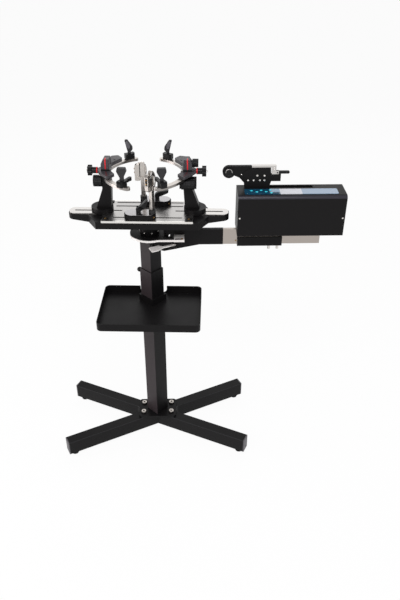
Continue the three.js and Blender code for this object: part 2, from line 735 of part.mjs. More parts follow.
function outerKnob() {
  const face = towerPost.headOut;
  const place = [sideKnob.offset, sideKnobLevel()];
  return join(
    rod("x", sideKnob.radius, [face + seat, face + seat + sideKnob.length], place, largeSides),
    rod("x", sideKnob.stub, [face - sideKnob.stubLength, face + over], place, smallSides),
  );
}

// Arc-shaped arm round the end of the table, slotted where it slides on the tower
function arcArm() {
  const inner = sideArm.radius - sideArm.width / 2;
  const outer = sideArm.radius + sideArm.width / 2;
  const shape = new THREE.Shape();
  shape.absarc(0, 0, outer, -sideArmSpread, sideArmSpread, false);
  shape.absarc(0, 0, inner, sideArmSpread, -sideArmSpread, true);
  const arc = new THREE.ExtrudeGeometry(shape, {
    depth: sideArm.thickness,
    bevelEnabled: false,
    curveSegments: roundSides,
  });
  const tips = [-1, 1].map((end) => rod("z", sideArm.width / 2, [armLevel, armDeck],
    [sideArm.radius * Math.cos(sideArmSpread), end * sideArm.radius * Math.sin(sideArmSpread)], roundSides));
  const tab = box([sideArm.tabIn, sideArm.tabOut], [-sideArm.tabHalf, sideArm.tabHalf], [armLevel, armDeck]);
  const opening = box(
    [towerBoss.start - sideArmTravel.out - seat, towerBoss.end + sideArmTravel.in + seat],
    [-towerBoss.half - seat, towerBoss.half + seat],
    [armLevel - over, armDeck + over],
  );
  return cut(join(solidOf(arc.translate(0, 0, armLevel)), tab, ...tips), opening);
}

// Grey head support: a low front lobe, an upright wall and a higher beak behind it
function headRest() {
  const { inner, outer, front, back, lean, backLean, rise } = supportWall;
  const { lugEnd, lugHalf } = headSupport;
  const plate = plan([
    [inner, back],
    [lobe.rootX, -lobe.rootY],
    [lobe.innerX, -lobe.innerY, lobeCorner],
    [lobe.tipX, -lobe.tipY, lobeCorner],
    [lobe.outerX, -lobe.outerY, lobeCorner],
    [lugEnd, -lugHalf],
    [lugEnd, lugHalf],
    [outer, back],
  ], [supportLevel, supportDeck]);
  const low = supportDeck - seat;
  const high = supportLevel + rise;
  const knee = low + (high - low) * supportWallTop.kneeShare;
  const section = [[-front, low], [back, low], [back - backLean, high], [lean - front, high]];
  const across = profileX(section, [inner, outer]);
  const along = profileY([
    [inner - over, low - over],
    [outer, low - over],
    [outer, knee],
    [supportWallTop.outer, high + over],
    [supportWallTop.inner, high + over],
  ], [-front - over, back + over]);
  const beakLow = supportLevel + supportBeak.rise;
  const beak = plan([
    [outer - lean, 0],
    [outer - lean, back],
    [beakPlan.outerX, beakPlan.outerY, lobeCorner],
    [beakPlan.tipX, beakPlan.tipY, lobeCorner],
    [beakPlan.innerX, beakPlan.innerY, lobeCorner],
    [beakPlan.rootX, beakPlan.rootY],
    [inner + lean, 0],
  ], [beakLow, beakLow + supportBeak.thickness]);
  const beakHole = rod("z", supportBeak.hole, [beakLow - over, beakLow + supportBeak.thickness + over],
    [supportBeak.holeX, supportBeak.holeY], smallSides);
  const pocket = box(
    [towerBoss.start - headSupportTravel.out - seat, towerBoss.end + headSupportTravel.in + seat],
    [-towerBoss.half - seat, towerBoss.half + seat],
    [supportLevel - over, supportDeck],
  );
  const holeRun = [towerBoss.end, lugEnd + over];
  const screwHole = rod("x", screw.radius + seat, holeRun, [0, screwLevel], smallSides);
  return cut(join(plate, across.intersect(along), cut(beak, beakHole)), pocket, screwHole);
}

// Star knob, hub, washer and screw in one turning piece
function starScrew() {
  const place = [0, screwLevel];
  const count = starKnob.lobes * starKnob.pointsPerLobe;
  const star = Array.from({ length: count }, (_, i) => {
    const angle = (i / count) * 2 * Math.PI;
    const radius = starKnob.radius + starKnob.lobe * Math.cos(starKnob.lobes * angle);
    return [radius * Math.cos(angle), screwLevel + radius * Math.sin(angle)];
  });
  return join(
    rod("x", screw.radius, [screw.start, screw.end], place, smallSides),
    rod("x", screwWasher.radius, [screwWasher.start, screwWasher.start + screwWasher.thickness], place),
    rod("x", starKnob.hub, [screwWasher.start + screwWasher.thickness / 2, starKnob.start + over], place),
    profileX(star, [starKnob.start, starKnob.end]),
  );
}

function paddlePlace(sizes, end) {
  return [sizes.radial * Math.cos(paddleBlockTurn), end * sizes.radial * Math.sin(paddleBlockTurn)];
}

// Block across the arm that holds one paddle's pin, with the handle that the front ones have
function supportBlock(sizes, end) {
  const { inward, outward, half, handle } = sizes;
  const { bevel } = paddleBlock;
  const [x, y] = paddlePlace(sizes, end);
  const block = profileY([
    [-inward, blockFloor],
    [outward, blockFloor],
    [outward, blockTop - bevel],
    [outward - bevel, blockTop],
    [-inward, blockTop],
  ], [-half, half]);
  const corners = plan(rectangle(-inward, outward, -half, half, bevel), [blockFloor - over, blockTop + over]);
  const holeRun = [blockTop - paddle.pinDepth - seat, blockTop + over];
  const hole = rod("z", paddle.pin + seat, holeRun, [0, 0], smallSides);
  const body = cut(block.intersect(corners), hole);
  const whole = handle > 0 ? join(body, innerHandle(inward, handle)) : body;
  return moved(turned(whole, end * paddleBlockTurn), x, y, 0);
}

// Waisted handle towards the middle of the table
function innerHandle(start, length) {
  const { half, low, high, waist } = blockHandle;
  return plan([
    [-start - length, -half, waist],
    [-start - waist, -waist],
    [over - start, -half],
    [over - start, half],
    [-start - waist, waist],
    [-start - length, half, waist],
  ], [blockFloor + low, blockFloor + high]);
}

// Fan-shaped front paddle on its swivel pin
function fanPaddle() {
  const [x, y] = paddlePlace(frontBlock, -1);
  const low = blockTop + seat;
  const { height } = paddle;
  const neck = paddle.neck / 2;
  const top = paddle.top / 2;
  const shoulder = height / 4;
  const fan = profileY([
    [-neck, 0],
    [neck, 0],
    [neck, shoulder],
    [top, height - paddle.corner * 2, paddle.corner],
    [top - neck / 2, height, paddle.corner / 2],
    [neck / 2 - top, height, paddle.corner / 2],
    [-top, height - paddle.corner * 2, paddle.corner],
    [-neck, shoulder],
  ], [-paddle.thickness / 2, paddle.thickness / 2]);
  const pin = rod("z", paddle.pin, [blockTop - paddle.pinDepth, low + neck], [0, 0], smallSides);
  const body = join(moved(fan, 0, 0, low), pin);
  return moved(turned(body, THREE.MathUtils.degToRad(paddleTurnDegrees)), x, y, 0);
}

// Leaf-shaped rear paddle that bulges inwards and leans outwards to a thin tip
function leafShapedPaddle() {
  const { height, stem, bulge, bulgeRise, top, tip, thickness, tipHalf } = leafPaddle;
  const [x, y] = paddlePlace(rearBlock, 1);
  const low = blockTop + seat;
  const half = thickness / 2;
  const face = profileY([
    [-stem, 0],
    [stem, 0],
    [stem, stem],
    [tip, height, tipHalf],
    [top, height, tipHalf],
    [-bulge, bulgeRise + stem, bulge],
    [-bulge, bulgeRise - stem, stem],
    [-stem, stem, stem],
  ], [-half, half]);
  const side = profileX([
    [-half, 0],
    [half, 0],
    [half, bulgeRise],
    [half, height],
    [half - 2 * tipHalf, height],
    [-half, bulgeRise, bulgeRise],
  ], [-bulge - over, tip + over]);
  const pin = rod("z", paddle.pin, [blockTop - paddle.pinDepth, low + stem], [0, 0], smallSides);
  return moved(join(moved(face.intersect(side), 0, 0, low), pin), x, y, 0);
}

// One tower with all that it carries; the left one is this one mirrored
function towerSet(label, mirrored) {
  const group = new THREE.Group();
  group.scale.x = mirrored ? -1 : 1;
  group.add(piece(`${label}_tower`, "blackPaint", towerCasting(!mirrored)));
  group.add(piece(`${label}_side_knob`, "blackPlastic", mirrored ? outerKnob() : drum()));
  group.add(piece(`${label}_head_support`, "greyPad", headRest()));
  group.add(piece(`${label}_head_screw`, "blackPlastic", starScrew()));
  const armGroup = new THREE.Group();
  armGroup.position.x = mirrored ? 0 : -rightArmShift;
  armGroup.add(piece(`${label}_side_arm`, "silver", arcArm()));
  const ends = [
    ["front", supportBlock(frontBlock, -1), fanPaddle()],
    ["rear", supportBlock(rearBlock, 1), leafShapedPaddle()],
  ];
  ends.forEach(([end, block, blade]) => {
    armGroup.add(piece(`${label}_${end}_support_block`, "blackPlastic", block));
    armGroup.add(piece(`${label}_${end}_paddle`, "blackPlastic", blade));
  });
  group.add(armGroup);
  return group;
}

// Knob on the outer face of the right head support
function rightLockKnob() {
  const start = supportWall.outer + seat;
  const place = [lockKnob.y, deckTop + lockKnob.rise];
  return rod("x", lockKnob.radius, [start, start + lockKnob.length], place);
}

// String clamp pieces, built round the middle of their own base
function clampPostX() {
  return clampBase.length / 2 - clampPost.inset;
}

function clampFoot() {
  const half = clampBase.length / 2;
  const { radius, height, step } = clampBase;
  const lower = plan(rectangle(-half, half, -radius, radius, radius - seat), [clampFloor, clampDeck - step]);
  const upper = plan(rectangle(step - half, half - step, step - radius, radius - step, radius - step - seat),
    [clampDeck - step - seat, clampDeck]);
  const pegHole = rod("z", clampPost.peg + seat, [clampFloor + height / 2 - seat, clampDeck + over],
    [clampPostX(), 0], smallSides);
  const ears = leverEars();
  return cut(join(lower, upper, ...ears), pegHole, leverPivot(seat, over));
}

// Two ears on the base that hold the lock lever's pivot
function leverEars() {
  const x = clampPostX() - clampLever.rootX;
  const inner = clampLever.half + seat;
  const reach = clampLever.pivot * 2;
  return [-1, 1].map((side) => {
    const limits = [side * inner, side * (inner + clampLever.ear)].sort((a, b) => a - b);
    return box([x - reach, x + reach], limits, [clampDeck - seat, clampDeck + clampLever.rise + reach]);
  });
}

function leverPivot(grow, extra) {
  const x = clampPostX() - clampLever.rootX;
  const reach = clampLever.half + seat + clampLever.ear + extra;
  return rod("y", clampLever.pivot + grow, [-reach, reach], [x, clampDeck + clampLever.rise], smallSides);
}

// Curved lock lever, narrow between the ears and broad beyond them
function lockLever(degrees) {
  const { length, height, half, blade, pivot } = clampLever;
  const leaf = profileY([
    [pivot * 2, -pivot * 2, pivot],
    [pivot * 2, height - pivot * 2, pivot * 2],
    [-length / 2, height - pivot, height],
    [-length, pivot, pivot],
    [-length + pivot, -pivot, pivot / 2],
    [-length / 2, -pivot, height],
  ], [-blade, blade]);
  const neck = -pivot * 3;
  const width = plan([
    [pivot * 2, -half],
    [neck, -half],
    [neck - half, -blade, half],
    [-length, -blade, blade - seat],
    [-length, blade, blade - seat],
    [neck - half, blade, half],
    [neck, half],
    [pivot * 2, half],
  ], [-height, height]);
  const shape = geometryOf(leaf.intersect(width)).rotateY(THREE.MathUtils.degToRad(degrees));
  shape.translate(clampPostX() - clampLever.rootX, 0, clampDeck + clampLever.rise);
  return join(solidOf(shape), leverPivot(0, 0));
}

function jawPinPlace(headLow) {
  return [clampPostX() - clampPost.width / 4, headLow + clampHead.pinRise];
}

// Swivel post whose upper end is the fixed jaw
function clampStem(headLow) {
  const x = clampPostX();
  const floor = clampDeck + seat;
  const half = clampPost.width / 2;
  const depth = clampPost.depth / 2;
  const headHigh = headLow + clampHead.height;
  const stem = profileY(rectangle(x - half, x + half, floor + over, headHigh, half - seat), [-depth, depth]);
  const collar = rod("z", clampPost.collar, [floor, floor + clampPost.collarHeight], [x, 0]);
  const peg = rod("z", clampPost.peg, [clampFloor + clampBase.height / 2, floor + over], [x, 0], smallSides);
  const through = [-depth - over, depth + over];
  const pinHole = rod("y", clampHead.pin + seat, through, jawPinPlace(headLow), smallSides);
  return cut(join(stem, collar, peg), pinHole);
}

// Hinged jaw beside the fixed one, with a cheek that carries the hinge pin
function movingJaw(headLow) {
  const right = clampPostX() - clampPost.width / 2 - clampHead.gap;
  const left = right - clampHead.jawWidth;
  const depth = clampHead.depth / 2;
  const high = headLow + clampHead.jawHeight;
  const corner = clampHead.jawWidth / 2 - seat;
  const plate = profileY([
    [left, headLow, corner / 2],
    [right, headLow, corner / 2],
    [right, high, corner],
    [left, high - corner / 2, corner],
  ], [-depth, depth]);
  const [pinX, pinZ] = jawPinPlace(headLow);
  const front = -clampPost.depth / 2 - seat;
  const reach = clampHead.pin * 2;
  const cheekDepth = [front - clampHead.cheek, front];
  const cheek = box([left + corner, pinX + reach], cheekDepth, [pinZ - reach, pinZ + reach]);
  const pinRun = [front - clampHead.cheek / 2, clampPost.depth / 2];
  const pin = rod("y", clampHead.pin, pinRun, [pinX, pinZ], smallSides);
  return join(plate, cheek, pin);
}

function stringClamp(label, x, y, turn, leverDegrees, headDegrees) {
  const foot = new THREE.Group();
  foot.position.set(x, y, 0);
  foot.rotation.z = turn;
  foot.add(piece(`${label}_clamp_base`, "blackPaint", clampFoot()));
  foot.add(piece(`${label}_clamp_lever`, "blackPlastic", lockLever(leverDegrees)));
  const head = new THREE.Group();
  head.position.set(x + clampPostX() * Math.cos(turn), y, 0);
  head.rotation.z = THREE.MathUtils.degToRad(headDegrees);
  const headLow = clampDeck + clampStems[label];
  const centred = (solid) => moved(solid, -clampPostX(), 0, 0);
  head.add(piece(`${label}_clamp_post`, "silver", centred(clampStem(headLow))));
  head.add(piece(`${label}_clamp_jaw`, "silver", centred(movingJaw(headLow))));
  const group = new THREE.Group();
  group.add(foot, head);
  return group;
}

// Folded cover of the tension head, open below and slotted above
function housingCover() {
  const { start, length, front, back, sheet, fold } = housing;
  const end = start + length;
  const section = (inset, low) => [
    [-front + inset, low],
    [back - inset, low],
    [back - inset, housingTop - inset, Math.max(housingBackFold - inset, seat)],
    [-front + inset, housingTop - inset, fold - inset],
  ];
  const shell = cut(
    profileX(section(0, housingBottom), [start, end]),
    profileX(section(sheet, housingBottom - over), [start + sheet, end - sheet]),
  );
  const { half } = housingSlot;
  const slotPlan = rectangle(housingSlot.start, housingSlot.end, -half, half, half / 2);
  const slotCut = plan(slotPlan, [housingTop - sheet - over, housingTop + over]);
  const inletHole = box(
    [inletX - inlet.width / 2 - seat, inletX + inlet.width / 2 + seat],
    [back - sheet - over, back + over],
    [inletLevel() - inlet.height / 2 - seat, inletLevel() + inlet.height / 2 + seat],
  );
  return cut(shell, slotCut, inletHole);
}

function inletLevel() {
  return housingBottom + inlet.rise;
}

function housingFloor() {
  const inset = housing.sheet + seat;
  const length = [housing.start + inset, housing.start + housing.length - inset];
  const depth = [inset - housing.front, housing.back - inset];
  return box(length, depth, [housingBottom, housingBottom + housing.sheet]);
}

// Shrouded power inlet in the back wall
function powerInlet() {
  const { width, height, depth, flange, flangeDepth } = inlet;
  const z = inletLevel();
  const face = housing.back + seat;
  const block = (grow, span) => box([inletX - width / 2 - grow, inletX + width / 2 + grow], span,
    [z - height / 2 - grow, z + height / 2 + grow]);
  return cut(
    join(block(0, [face - depth, face + flangeDepth / 2]), block(flange, [face, face + flangeDepth])),
    block(-flange, [face - depth + flange, face + flangeDepth + over]),
  );
}

// Channel under the slot that guides the gripper's neck
function gripTrack() {
  const top = housingTop - housing.sheet - seat;
  const inner = track.half - track.wall;
  return cut(
    box([track.start, track.end], [-track.half, track.half], [trackBottom, top]),
    box([track.start - over, track.end + over], [-inner, inner], [trackBottom + track.floor, top + over]),
  );
}

// Upper run of the drive chain, waisted between its links
function driveChain() {
  const z0 = trackBottom + track.floor + seat;
  const start = track.start + chain.inset;
  const count = Math.floor((track.end - chain.inset - start) / chain.link);
  const side = (sign) => Array.from({ length: count }, (_, i) => [
    [start + i * chain.link, sign * (chain.half - chain.waist)],
    [start + (i + 1 / 2) * chain.link, sign * chain.half],
  ]).flat();
  const end = start + count * chain.link;
  const corners = [
    ...side(-1),
    [end, chain.waist - chain.half],
    [end, chain.half - chain.waist],
    ...side(1).reverse(),
  ];
  return plan(corners, [z0, z0 + chain.height]);
}

// Gear motor lying on its foot below the track
function driveMotor() {
  const floor = housingBottom + housing.sheet + seat;
  const place = [-motor.y, floor + motor.rise];
  const footBlock = box([motor.start + motor.footHalf, motor.end - motor.footHalf],
    [-motor.y - motor.footHalf, -motor.y + motor.footHalf], [floor, floor + motor.rise - motor.footWall]);
  const shaftRun = [motor.start - motor.footHalf, motor.start + over];
  const shaft = rod("x", motor.footWall, shaftRun, place, smallSides);
  return join(rod("x", motor.radius, [motor.start, motor.end], place), footBlock, shaft);
}

// Channel that clamps the housing to the rail, with its two screws below
function railSaddle() {
  const innerFront = -rail.front - seat;
  const innerBack = seat - rail.back;
  const floorTop = railBottom - seat;
  const bottom = floorTop - railClamp.floor;
  const lip = floorTop + railClamp.frontHeight;
  const channel = profileX([
    [innerFront - railClamp.wall, bottom],
    [innerBack + railClamp.wall, bottom],
    [innerBack + railClamp.wall, railTop],
    [innerBack, railTop],
    [innerBack, floorTop],
    [innerFront, floorTop],
    [innerFront, lip],
    [innerFront - railClamp.wall, lip],
  ], [railClamp.start, railClamp.end]);
  const screwSpan = [bottom - railClamp.screwDrop, bottom + railClamp.floor / 2];
  const screwY = (innerFront + innerBack) / 2;
  const screws = Object.values(railClampScrews).map((x) =>
    rod("z", railClamp.screw, screwSpan, [x, screwY], smallSides));
  return join(channel, ...screws);
}

// Printed panel on the cover
function panelSheet() {
  const { start, end, front, back, thickness, corner } = controlPanel;
  return plan(rectangle(start, end, -front, -back, corner), [gripFloor, gripFloor + thickness]);
}

function noseCentre() {
  return [gripNose.x, gripFloor + gripNose.rise];
}

// Body, nose arm, neck and rear block of the gripper
function gripperFrame() {
  const z = gripFloor;
  const top = z + gripTopRise;
  const { front, back, relief } = gripBody;
  const plate = profileY([
    [gripPlate.left, z],
    [gripPlate.right, z],
    [gripPlate.right, z + gripPlateRight.lowRise],
    [gripPlateRight.bulge, z + gripPlateRight.bulgeRise],
    [gripPlate.right, top],
    [gripPlateLeft.top, top],
    [gripPlateLeft.upper, z + gripPlate.kneeRise],
    [gripPlate.left - over, z + gripPlateLeft.waistRise],
  ], [front, back]);
  const [noseX, noseZ] = noseCentre();
  const noseTop = noseZ + gripNose.radius;
  const armSpan = [front + relief, back];
  const armBody = profileY([
    [noseX, noseTop],
    [noseX, noseZ],
    [gripArm.undersideX, z + gripArm.undersideRise],
    [gripArm.sagX, z + gripArm.sagRise],
    [gripArm.rootX, z + gripArm.rootRise],
    [gripPlate.right - over, z + gripArm.rootRise],
    [gripPlate.right - over, top - over],
    [gripPlateLeft.top - seat, top - over],
    [gripPlateLeft.top - seat, noseTop],
  ], armSpan);
  const nose = rod("y", gripNose.radius, armSpan, [noseX, noseZ], largeSides);
  const pocket = rod("y", gripNose.radius + over, [front + relief + gripNose.cheek, back - gripNose.cheek],
    [noseX, noseZ], largeSides);
  const capDepth = [front + relief - gripNose.capDepth, front + over];
  const capDisc = rod("y", gripNose.cap, capDepth, [noseX, noseZ], largeSides);
  const pin = rod("y", noseRoller.pin, [front + over, back - relief], [noseX, noseZ], smallSides);
  const neckFloor = trackBottom + track.floor + 2 * seat + chain.height;
  const neck = box([gripNeck.start, gripNeck.end], [-gripNeck.half, gripNeck.half], [neckFloor, z + over]);
  const shoulderDepth = [back - over, gripNeck.half];
  const shoulder = box([gripNeck.start, gripNeck.end], shoulderDepth, [z, z + gripPlateLeft.shoulder]);
  const rear = box([gripPlate.right - over, gripRear.end], [front + relief, back],
    [z + gripRear.bottomRise, z + gripRear.topRise]);
  return join(cut(join(plate, armBody, nose), pocket), capDisc, pin, neck, shoulder, rear);
}

// Grooved string roller in the nose
function stringRoller() {
  const half = (gripBody.back - gripBody.front - gripBody.relief) / 2 - gripNose.cheek - seat;
  const bore = noseRoller.pin + seat;
  const profile = [
    new THREE.Vector2(bore, -half),
    new THREE.Vector2(noseRoller.radius, -half),
    new THREE.Vector2(noseRoller.radius - noseRoller.groove, 0),
    new THREE.Vector2(noseRoller.radius, half),
    new THREE.Vector2(bore, half),
    new THREE.Vector2(bore, -half),
  ];
  const shape = new THREE.LatheGeometry(profile, roundSides);
  const [x, z] = noseCentre();
  return solidOf(shape.translate(x, (gripBody.front + gripBody.relief + gripBody.back) / 2, z));
}

// Silver jaw: a bar on top of the body and a block at its rear end with two ears
function gripJaw() {
  const z = gripFloor;
  const top = z + gripTopRise + seat;
  const eye = z + gripLever.rise;
  const { front, back } = gripBody;
  const bar = box([jaw.start, jaw.barEnd], [front, back], [top, z + jaw.top]);
  const blockHeight = [z + gripRear.topRise + seat, z + jaw.top];
  const block = box([jaw.blockStart, jaw.blockEnd], [front, back], blockHeight);
  const ears = [[front, front + jawEar.thickness], [back - jawEar.thickness, back]].map((limits) =>
    box([jaw.blockEnd - over, jaw.blockEnd + jaw.ear], limits, [eye - jawEar.radius, eye + jawEar.radius]));
  const hole = rod("y", jawEar.hole + seat, [front - over, back + over], leverEye(), smallSides);
  return cut(join(bar, block, ...ears), hole);
}

function leverEye() {
  return [jaw.blockEnd + jaw.ear / 2 + seat, gripFloor + gripLever.rise];
}

// Rounded handle hinged between the jaw's ears
function gripHandle() {
  const [x, z] = leverEye();
  const { front, back } = gripBody;
  const inset = jawEar.thickness + seat;
  const low = z - gripLever.thickness / 2;
  const start = x - jaw.ear / 2;
  const side = rectangle(start, jaw.blockEnd + gripLever.reach, low, low + gripLever.thickness,
    gripLever.tip - seat / 2);
  const handle = profileY(side, [front + inset, back - inset]);
  return join(handle, rod("y", jawEar.hole, [front, back], [x, z], smallSides));
}

function tensionHead() {
  const group = new THREE.Group();
  group.add(piece("arm_tube", "blackPaint", armTube()));
  group.add(piece("arm_rail", "steel", railTube()));
  group.add(piece("rail_clamp", "blackPaint", railSaddle()));
  group.add(piece("housing_base", "blackPaint", housingFloor()));
  group.add(piece("housing_cover", "blackPaint", housingCover()));
  group.add(piece("control_panel", "panelBlue", panelSheet()));
  group.add(piece("power_inlet", "blackPlastic", powerInlet()));
  group.add(piece("drive_track", "steel", gripTrack()));
  group.add(piece("drive_chain", "steel", driveChain()));
  group.add(piece("drive_motor", "blackPaint", driveMotor()));
  group.add(piece("gripper_frame", "blackPaint", gripperFrame()));
  group.add(piece("gripper_roller", "blackPlastic", stringRoller()));
  group.add(piece("gripper_jaw", "silver", gripJaw()));
  group.add(piece("gripper_lever", "blackPlastic", gripHandle()));
  return group;
}

const machine = new THREE.Group();
machine.add(stand());
machine.add(columnPieces());
machine.add(piece("tool_tray", "blackPaint", toolTray()));
machine.add(brakeParts());
machine.add(turntable());
machine.add(tensionHead());

// The finished part stands with the middle of its footprint at the origin
const footprint = new THREE.Box3().setFromObject(machine);
const middle = footprint.getCenter(new THREE.Vector3());
machine.position.set(-middle.x, -middle.y, -footprint.min.z);

export default machine;
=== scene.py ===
"""Looks of a racket stringing machine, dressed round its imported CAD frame.

Lengths in the classes are millimetres of the machine, counted from the column's axis and the floor,
and places on the turntable are counted in the table's own turned frame.
"""

import logging
import math
from collections.abc import Callable, Sequence
from dataclasses import dataclass, replace
from enum import Enum
from functools import cache, reduce
from operator import mul

import bmesh
import bpy
from mathutils import Matrix, Quaternion, Vector


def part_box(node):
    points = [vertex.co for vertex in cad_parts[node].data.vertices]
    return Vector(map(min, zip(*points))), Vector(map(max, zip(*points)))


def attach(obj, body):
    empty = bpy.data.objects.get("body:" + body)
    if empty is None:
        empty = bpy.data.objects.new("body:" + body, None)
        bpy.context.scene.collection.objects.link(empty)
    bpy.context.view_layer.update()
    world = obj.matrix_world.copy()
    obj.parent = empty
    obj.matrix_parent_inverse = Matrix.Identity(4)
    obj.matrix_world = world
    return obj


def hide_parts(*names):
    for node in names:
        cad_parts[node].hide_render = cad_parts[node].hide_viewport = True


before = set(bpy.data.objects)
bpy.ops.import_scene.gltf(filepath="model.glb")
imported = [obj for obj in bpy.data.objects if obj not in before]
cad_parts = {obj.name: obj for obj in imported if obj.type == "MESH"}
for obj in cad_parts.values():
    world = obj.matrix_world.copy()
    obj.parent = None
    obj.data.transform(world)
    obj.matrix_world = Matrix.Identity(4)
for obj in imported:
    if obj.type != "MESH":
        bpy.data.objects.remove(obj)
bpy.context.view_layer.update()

MM = 0.001
TABLE_TURN = math.radians(-2.5)
UP = Vector((0.0, 0.0, 1.0))
FRONT = Vector((0.0, -1.0, 0.0))
BACK = Vector((0.0, 1.0, 0.0))
QUARTERS = ((-1, -1), (-1, 1), (1, -1), (1, 1))
LOG = logging.getLogger("stringing_machine")

Colour = tuple[float, float, float]
Pair = tuple[float, float]
Place = tuple[float, float, float]
Piece = bpy.types.Object
Value = "float | Wire"


class Axis(Enum):
    """An axis of a place's own frame."""

    X = 0
    Y = 1
    Z = 2


def column_axis() -> Vector:
    """Where the column's axis meets the floor."""
    low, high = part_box("outer_column")
    return Vector(((low[0] + high[0]) / 2, (low[1] + high[1]) / 2, 0.0))


@dataclass(frozen=True)
class Datum:
    """A frame about the column's axis, in millimetres, that stands in the part's own frame."""

    turn: float = 0.0

    def direction(self, x: float, y: float, z: float) -> Vector:
        """A direction of this frame, in the part's frame."""
        cosine, sine = math.cos(self.turn), math.sin(self.turn)
        return Vector((cosine * x - sine * y, sine * x + cosine * y, z))

    def point(self, x: float, y: float, z: float) -> Vector:
        """A point of this frame, in the part's frame and in metres."""
        return column_axis() + self.direction(x, y, z) * MM


MACHINE = Datum()
TABLE = Datum(TABLE_TURN)
COLUMN = Datum(math.radians(45))


def math_node(operation: str, swapped: bool = False) -> Callable[..., "Wire"]:
    """Makes a method of Wire that adds a Math node.

    Args:
        operation: The node's operation.
        swapped: Whether the other value comes first, as in 1 - mask.

    Returns:
        The method, which takes the other value where there is one.
    """
    def method(wire: "Wire", *others: Value) -> "Wire":
        """The output of a new Math node."""
        values = (*others, wire) if swapped else (wire, *others)
        return wire.graph.wire("ShaderNodeMath", {"operation": operation}, dict(enumerate(values)))

    return method


class Wire:
    """One shader value, which Python's operators combine through Math nodes."""

    def __init__(self, graph: "Graph", socket: bpy.types.NodeSocket) -> None:
        """Keeps the graph and the output socket that carries the value."""
        self.graph = graph
        self.socket = socket

    __add__ = math_node("ADD")
    __radd__ = math_node("ADD", swapped=True)
    __sub__ = math_node("SUBTRACT")
    __rsub__ = math_node("SUBTRACT", swapped=True)
    __mul__ = math_node("MULTIPLY")
    __abs__ = math_node("ABSOLUTE")
    above = math_node("GREATER_THAN")
    largest = math_node("MAXIMUM")
    sine = math_node("SINE")
    angle = math_node("ARCTAN2")


class Graph:
    """The node tree of one material or of the world."""

    COLOUR_ENDS = (6, 7)
    COLOUR_MIXED = 2

    def __init__(self, holder: bpy.types.Material | bpy.types.World) -> None:
        """Empties the tree of a material or world."""
        holder.use_nodes = True
        self.tree = holder.node_tree
        self.tree.nodes.clear()

    def node(self, kind: str, settings: dict | None = None,
             inputs: dict | None = None) -> bpy.types.Node:
        """Adds one node.

        Args:
            kind: The node's type.
            settings: Its own settings, such as an operation, which are set first.
            inputs: Values or links of its sockets, by name or number.

        Returns:
            The new node.
        """
        made = self.tree.nodes.new(kind)
        for key, value in (settings or {}).items():
            setattr(made, key, value)
        for key, value in (inputs or {}).items():
            if isinstance(value, Wire):
                self.tree.links.new(value.socket, made.inputs[key])
            else:
                made.inputs[key].default_value = value
        return made

    def wire(self, kind: str, settings: dict | None = None, inputs: dict | None = None,
             output: int | str = 0) -> Wire:
        """One output of a new node."""
        return Wire(self, self.node(kind, settings, inputs).outputs[output])

    def mix(self, factor: Value, first: "Colour | Wire", second: "Colour | Wire") -> Wire:
        """Mixes two colours by how much of the second one shows."""
        ends = [end if isinstance(end, Wire) else (*end, 1.0) for end in (first, second)]
        return self.wire("ShaderNodeMix", {"data_type": "RGBA"},
                         {0: factor, **dict(zip(self.COLOUR_ENDS, ends))}, self.COLOUR_MIXED)

    def blend(self, factor: Wire, first: Value, second: Value) -> Wire:
        """Mixes two numbers by a factor."""
        return factor * second + (1 - factor) * first

    def stretched(self, scale: Sequence[float], turn: float = 0.0) -> Wire:
        """Object coordinates, turned about Z, with one scale for each axis."""
        place = self.wire("ShaderNodeTexCoord", output="Object")
        return self.wire("ShaderNodeMapping", None, {
            "Vector": place, "Rotation": (0.0, 0.0, -turn), "Scale": tuple(scale)})

    def along(self, axis: Axis, datum: Datum, folded: bool = False) -> Wire:
        """The place along one axis of a frame, in millimetres.

        Args:
            axis: The axis.
            datum: The frame.
            folded: Whether it counts both ways.

        Returns:
            The distance from the column's axis or the floor.
        """
        scaled = self.stretched((1 / MM,) * 3, datum.turn)
        part = self.wire("ShaderNodeSeparateXYZ", None, {0: scaled}, axis.value)
        origin = Datum(-datum.turn).direction(*column_axis()) / MM
        place = part - origin[axis.value]
        return abs(place) if folded else place

    def noise(self, scale: Sequence[float], detail: float) -> Wire:
        """Soft noise about a half, by its cells in a metre on each axis and its finer layers."""
        return self.wire("ShaderNodeTexNoise", None, {
            "Vector": self.stretched(scale), "Scale": 1.0, "Detail": detail})

    def bump(self, height: Wire, depth: float) -> Wire:
        """A normal that follows a height from zero to one, with its depth in millimetres."""
        return self.wire("ShaderNodeBump", None, {
            "Height": height, "Distance": depth * MM, "Strength": 1.0})

    def rays(self, *kinds: str) -> Wire:
        """One for rays of the kinds that Light Path names so, and zero for all others."""
        seen = [self.wire("ShaderNodeLightPath", output=kind) for kind in kinds]
        return reduce(Wire.largest, seen)

    def end_plain(self, fixed: dict, varied: dict) -> None:
        """Ends a material in one shader, by its even values and the links of its other sockets."""
        shader = self.wire("ShaderNodeBsdfPrincipled", None, {**fixed, **varied})
        self.node("ShaderNodeOutputMaterial", None, {0: shader})

    def end_mixed(self, kind: str, factor: Wire, first: Wire, second: Wire) -> None:
        """Ends the tree in an output of some kind, with two shaders that are mixed by a factor."""
        mixed = self.wire("ShaderNodeMixShader", None, {0: factor, 1: first, 2: second})
        self.node(kind, None, {0: mixed})


@dataclass(frozen=True)
class Look:
    """Colour, roughness and metal share of one plain surface."""

    colour: Colour
    roughness: float
    metal: float = 0.0


@dataclass(frozen=True)
class Slab:
    """A mask that is one between two places along an axis; a folded one counts both ways."""

    axis: Axis
    low: float
    high: float
    datum: Datum = MACHINE
    folded: bool = False

    def wire(self, graph: Graph) -> Wire:
        """The mask in a material: one inside the slab and zero outside."""
        place = graph.along(self.axis, self.datum, self.folded)
        return place.above(self.low) * (1 - place.above(self.high))


